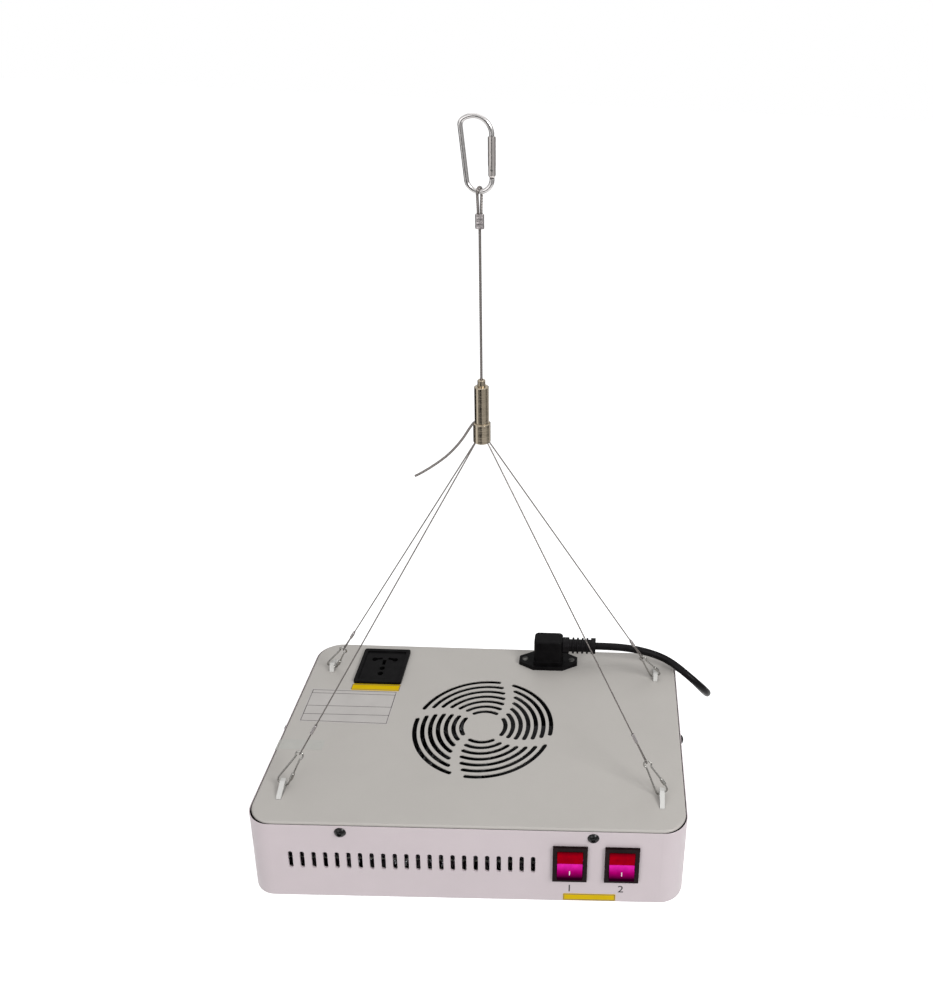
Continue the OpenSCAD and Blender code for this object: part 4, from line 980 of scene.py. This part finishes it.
def makeCover():
    fold, sheet, hem = pick(cover, "fold sheet hem")
    inset = cover["sides"] + fold
    outline = cornerLoop(leftX + inset, -leftX - inset, frontY + cover["front"] + fold,
                         -frontY - cover["rear"] - fold, cover["corner"] - fold)
    loops = [[(x, y) for x, y, nx, ny in outline]] + coverOpenings()
    mesh = bmesh.new()
    sheets = []
    for z in (0, -sheet):
        rings = [[mesh.verts.new(onPlate(x, y, z)) for x, y in loop] for loop in loops]
        edges = [mesh.edges.new((ring[k - 1], ring[k])) for ring in rings for k in range(len(ring))]
        bmesh.ops.triangle_fill(mesh, use_beauty=True, edges=edges, normal=(0, 0, 1))
        sheets.append(rings)
    for top, bottom in list(zip(*sheets))[1:]:
        joinRings(mesh, top, bottom)

    # the fold, out and down, back under its hem and up inside
    steps = cover["foldSteps"]
    turns = [radians(90 * k / steps) for k in range(1, steps + 1)]
    profile = [(fold * sin(a), -fold * (1 - cos(a))) for a in turns]
    profile += [((fold - hem) * sin(a), -sheet - (fold - sheet) * (1 - cos(a)))
                for a in reversed(turns)]
    last = sheets[0][0]
    for reach, z in profile:
        ring = addLoop(mesh, outline, reach, z)
        joinRings(mesh, last, ring)
        last = ring
    joinRings(mesh, last, sheets[1][0])
    piece = makePiece("coverLid", mesh, "coverPaint", instead="top_cover")
    for face in piece.data.polygons:
        if abs(face.normal.z) > cover["flat"]:
            face.use_smooth = False


def makeBand(name, section, finish):
    # a closed section, as distance inwards and height, led round the casing's outline
    outline = cornerLoop(leftX, -leftX, frontY, -frontY, frameEdge["corner"])
    mesh = bmesh.new()
    rings = [addLoop(mesh, outline, -inset, z) for inset, z in section]
    for k in range(len(rings)):
        joinRings(mesh, rings[k - 1], rings[k])
    makePiece(name, mesh, finish)


def makeFrameEdge():
    proud, thick, top, low = pick(frameEdge, "proud thickness top low")
    across, down = frameEdge["chamfer"]
    section = [(-proud, low), (-proud, top - down), (across - proud, top), (thick, top),
               (thick, low)]
    makeBand("frameEdge", section, "edgePaint")


def makeGapShadow():
    (near, far), top, low = pick(gapShadow, "inset top low")
    # painted shadow: a black band set in the gap between lid and frame
    makeBand("gapShadow", [(near, low), (near, top), (far, top), (far, low)], "sealBlack")


makeCover()
makeFrameEdge()
makeGapShadow()
print("cover made")

# Bare stickers with a few ruled lines: places in the cover's plane, or on the front wall
stickers = {
    "thickness": 0.12, "round": 1.0, "lap": 0.06, "ink": 0.02, "ruleWidth": 0.45,
    "coverWhite": {
        "finish": "whiteFilm", "slot": "cover_paint",
        "corners": [(-147, 40.8), (-146.6, 1.6), (-76.9, 0.2), (-76.6, 40.3)],
        "rules": [(-145.6, 39), (-145.3, 2.8), (-78, 1.6), (-77.8, 38.6), (-145.6, 39),
                  (-145.4, 35.3), (-77.9, 35), (-77.8, 20.4), (-145.5, 20.2), (-145.4, 10.5),
                  (-77.9, 10.8)],
    },
    "coverYellow": {
        "finish": "yellowFilm", "slot": "cover_paint",
        "corners": [(-115.2, 48), (-115.2, 39.8), (-76, 39.8), (-76, 48)],
        "rules": [(-115.3, 46.9), (-115.3, 41), (-76.2, 41), (-76.2, 46.9), (-115.3, 46.9)],
    },
    "frontYellow": {
        "finish": "yellowFilm", "slot": "frame_paint",
        "corners": [(67.8, -59), (67.8, -65.4), (105.6, -65.4), (105.6, -59)],
        "rules": [(68.5, -59.7), (68.5, -64.7), (104.9, -64.7), (104.9, -59.7), (68.5, -59.7)],
    },
}
sealStrip = {"x": -120, "y": (-29, -18.5), "down": 12, "lift": 0.03, "slant": 0.7}


def roundedOutline(loop, radius, steps=4):
    spots = [Vector(spot) for spot in loop]
    shares = [k / steps for k in range(steps + 1)]
    outline = []
    for before, here, after in zip(spots[-1:] + spots, spots, spots[1:] + spots[:1]):
        back = (before - here).normalized() * radius
        ahead = (after - here).normalized() * radius
        outline += [here + back * (1 - t) ** 2 + ahead * t ** 2 for t in shares]
    return outline


# the yellow strip laps over the white plate's edge
def onLap(x, y, height):
    return onPlate(x, y, height + stickers["lap"])


def onFront(x, z, height):
    return onPlate(x, frontY - height, z)


def makeStickers():
    places = {"coverWhite": onPlate, "coverYellow": onLap, "frontYellow": onFront}
    for name, place in places.items():
        spots, finish, slot = pick(stickers[name], "corners finish slot")
        mesh = bmesh.new()
        outline = roundedOutline(spots, stickers["round"])
        addPlateSheet(mesh, outline, place, stickers["thickness"])
        makePiece("sticker." + name, mesh, finish, sharp=30)

    half = stickers["ruleWidth"] / 2
    for name, place in places.items():
        def onSticker(x, y, height):
            return place(x, y, stickers["thickness"] + height)

        mesh = bmesh.new()
        spots = [Vector(spot) for spot in stickers[name]["rules"]]
        for start, end in zip(spots, spots[1:]):
            along = (end - start).normalized() * half
            side = Vector((-along.y, along.x))
            first, last = start - along, end + along
            addPlateSheet(mesh, [first - side, last - side, last + side, first + side], onSticker,
                          stickers["ink"])
        makePiece("print." + name, mesh, "ruleInk", sharp=30)


def makeSealStrip():
    # from the cover over its fold, across the gap and down the side: place and outward direction
    fold, thick, lift = cover["fold"], stickers["thickness"], sealStrip["lift"]
    arcX = leftX + cover["sides"] + fold
    wallX = leftX - frameEdge["proud"] - lift
    section = [(sealStrip["x"], 0, 0, 1)]
    for a in range(90, 151, 10):
        nx, nz = onCircle(1, a)
        section.append((arcX + fold * nx, fold * (nz - 1), nx, nz))
    section.append((wallX, frameEdge["top"] + lift, -sealStrip["slant"], sealStrip["slant"]))
    section.append((wallX, -sealStrip["down"], -1, 0))
    near, far = sealStrip["y"]
    mesh = bmesh.new()
    addTube(mesh, [[onPlate(x + nx * h, y, z + nz * h)
                    for y, h in ((near, 0), (near, thick), (far, thick), (far, 0))]
                   for x, z, nx, nz in section])
    makePiece("sticker.seal", mesh, "greyFilm", sharp=30)


makeStickers()
makeSealStrip()
print("stickers laid")

# Switch marks: a bar on each rocker's lower half, and a number under each switch
marks = {
    "bar": (0.65, 2.9), "barRound": 0.26, "barDrop": 6.2, "ahead": 50, "thickness": 0.08,
    "digitSize": 9.0, "digitZ": -54.2, "digits": {"left": "1", "right": "2"}, "weld": 0.001,
}


def makeRockerBar(side):
    node = side + "_rocker"
    middle = middleOf(node)
    start = Vector((middle.x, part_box(node)[0].y - marks["ahead"] * mm,
                    middle.z - marks["barDrop"] * mm))
    place, normal = cadNodes[node].ray_cast(start, Vector((0, 1, 0)))[1:3]
    level = Vector((1, 0, 0))
    up = normal.cross(level).normalized()
    if up.z < 0:
        up = -up

    def onRocker(x, z, height):
        return place + (level * x + up * z + normal * height) * mm

    mesh = bmesh.new()
    outline = roundedOutline(boxLoop(0, 0, *marks["bar"]), marks["barRound"])
    addPlateSheet(mesh, outline, onRocker, marks["thickness"])
    makePiece("rockerBar." + side, mesh, "markWhite", "rocker_" + side, 30)


def makeSwitchNumber(side):
    thick = marks["thickness"]
    curve = bpy.data.curves.new("digit", "FONT")
    curve.body = marks["digits"][side]
    curve.size = marks["digitSize"] * mm
    curve.extrude = thick / 2 * mm
    curve.align_x = curve.align_y = "CENTER"
    text = bpy.data.objects.new("digit", curve)
    scene.collection.objects.link(text)
    bpy.context.view_layer.update()
    depsgraph = bpy.context.evaluated_depsgraph_get()
    data = bpy.data.meshes.new_from_object(text.evaluated_get(depsgraph))
    mesh = bmesh.new()
    mesh.from_mesh(data)
    bmesh.ops.remove_doubles(mesh, verts=mesh.verts, dist=marks["weld"] * mm)
    place = onFront(0, marks["digitZ"], thick / 2)
    place.x = middleOf(side + "_switch").x
    mesh.transform(Matrix.Translation(place) @ Matrix.Rotation(pi / 2, 4, "X"))
    bpy.data.objects.remove(text)
    bpy.data.meshes.remove(data)
    makePiece("switchNumber." + side, mesh, "printInk", sharp=30)


for side in switchSides:
    makeRockerBar(side)
    makeSwitchNumber(side)
print("switch marks made")

# Studio: white floor well below the hanging lamp, white surroundings and three soft lamps
studio = {
    "white": (1, 1, 1, 1),
    "sky": 0.38,
    "floorZ": -1250,
    "floorHalf": 12000,
    "floorColour": (0.92, 0.92, 0.92, 1),
    "floorGlow": 0.75,
    "lamps": {
        "key": {"place": (1250, -1100, 750), "aim": (0, 0, -480), "size": 700, "power": 20},
        "fill": {"place": (-900, -1500, 250), "aim": (0, 0, -480), "size": 1200, "power": 8},
        "top": {"place": (100, 500, 1300), "aim": (0, 0, -470), "size": 1400, "power": 6},
    },
    # screens round the set, seen only as bands in the polished metal:
    # angles from the camera's side, and a grey level
    "screens": {
        "left": (-178, -84, 0.03), "nearLeft": (-50, -17, 0.22), "camera": (-17, 7, 0.0),
        "nearRight": (7, 74, 0.6), "right": (74, 124, 0.28), "farRight": (150, 178, 0.05),
    },
    "screenRadius": 2000,
    "screenZ": (-1245, 300),
    "screenSteps": 8,
}


def anyRay(owner, *kinds):
    # 1 where the ray is one of these kinds
    path = addNode(owner, "LightPath")
    seen = path.outputs[kinds[0]]
    for kind in kinds[1:]:
        either = addNode(owner, "Math", {0: seen, 1: path.outputs[kind]}, operation="MAXIMUM")
        seen = either.outputs[0]
    return seen


def makeSky():
    world = bpy.data.worlds.new("studioWorld")
    scene.world = world
    world.use_nodes = True
    seen = anyRay(world, "Is Camera Ray", "Is Glossy Ray", "Is Transmission Ray")
    setSockets(world, world.node_tree.nodes["Background"], {
        "Color": studio["white"], "Strength": mapRange(world, seen, 0.0, 1.0, studio["sky"], 1.0)})


def makeFloor():
    mat = startMaterial("studioFloor", Roughness=0.9, Base_Color=studio["floorColour"],
                        Emission_Color=studio["white"])
    seen = anyRay(mat, "Is Camera Ray", "Is Glossy Ray")
    glow = addNode(mat, "Math", {0: seen, 1: studio["floorGlow"]}, operation="MULTIPLY")
    setSurface(mat, Emission_Strength=glow.outputs[0])
    mesh = bmesh.new()
    bmesh.ops.create_grid(mesh, x_segments=4, y_segments=4, size=studio["floorHalf"] * mm,
                          matrix=Matrix.Translation((0, 0, studio["floorZ"] * mm)))
    addObject("studioFloor", mesh, mat)


def makeScreen(name, start, end, grey):
    mat = startMaterial("screen." + name, Roughness=1.0, Base_Color=(0, 0, 0, 1),
                        Emission_Color=studio["white"], Emission_Strength=grey)
    mesh = bmesh.new()
    columns = []
    steps = studio["screenSteps"]
    for k in range(steps + 1):
        x, y = onCircle(studio["screenRadius"], start + (end - start) * k / steps - 90)
        columns.append([mesh.verts.new(Vector((x, y, z)) * mm) for z in studio["screenZ"]])
    for first, second in zip(columns, columns[1:]):
        mesh.faces.new((first[0], second[0], second[1], first[1]))
    screen = addObject("screen." + name, mesh, mat)
    screen.visible_camera = screen.visible_diffuse = screen.visible_shadow = False


def makeLamp(name, lamp):
    data = bpy.data.lights.new(name, "AREA")
    data.size = lamp["size"] * mm
    data.energy = lamp["power"]
    light = bpy.data.objects.new(name, data)
    light.location = Vector(lamp["place"]) * mm
    aim = Vector(lamp["aim"]) - Vector(lamp["place"])
    light.rotation_euler = aim.to_track_quat("-Z", "Y").to_euler()
    scene.collection.objects.link(light)


makeSky()
makeFloor()
for name, (start, end, grey) in studio["screens"].items():
    makeScreen(name, start, end, grey)
for name, lamp in studio["lamps"].items():
    makeLamp(name, lamp)
print("studio lit")

bpy.context.view_layer.update()
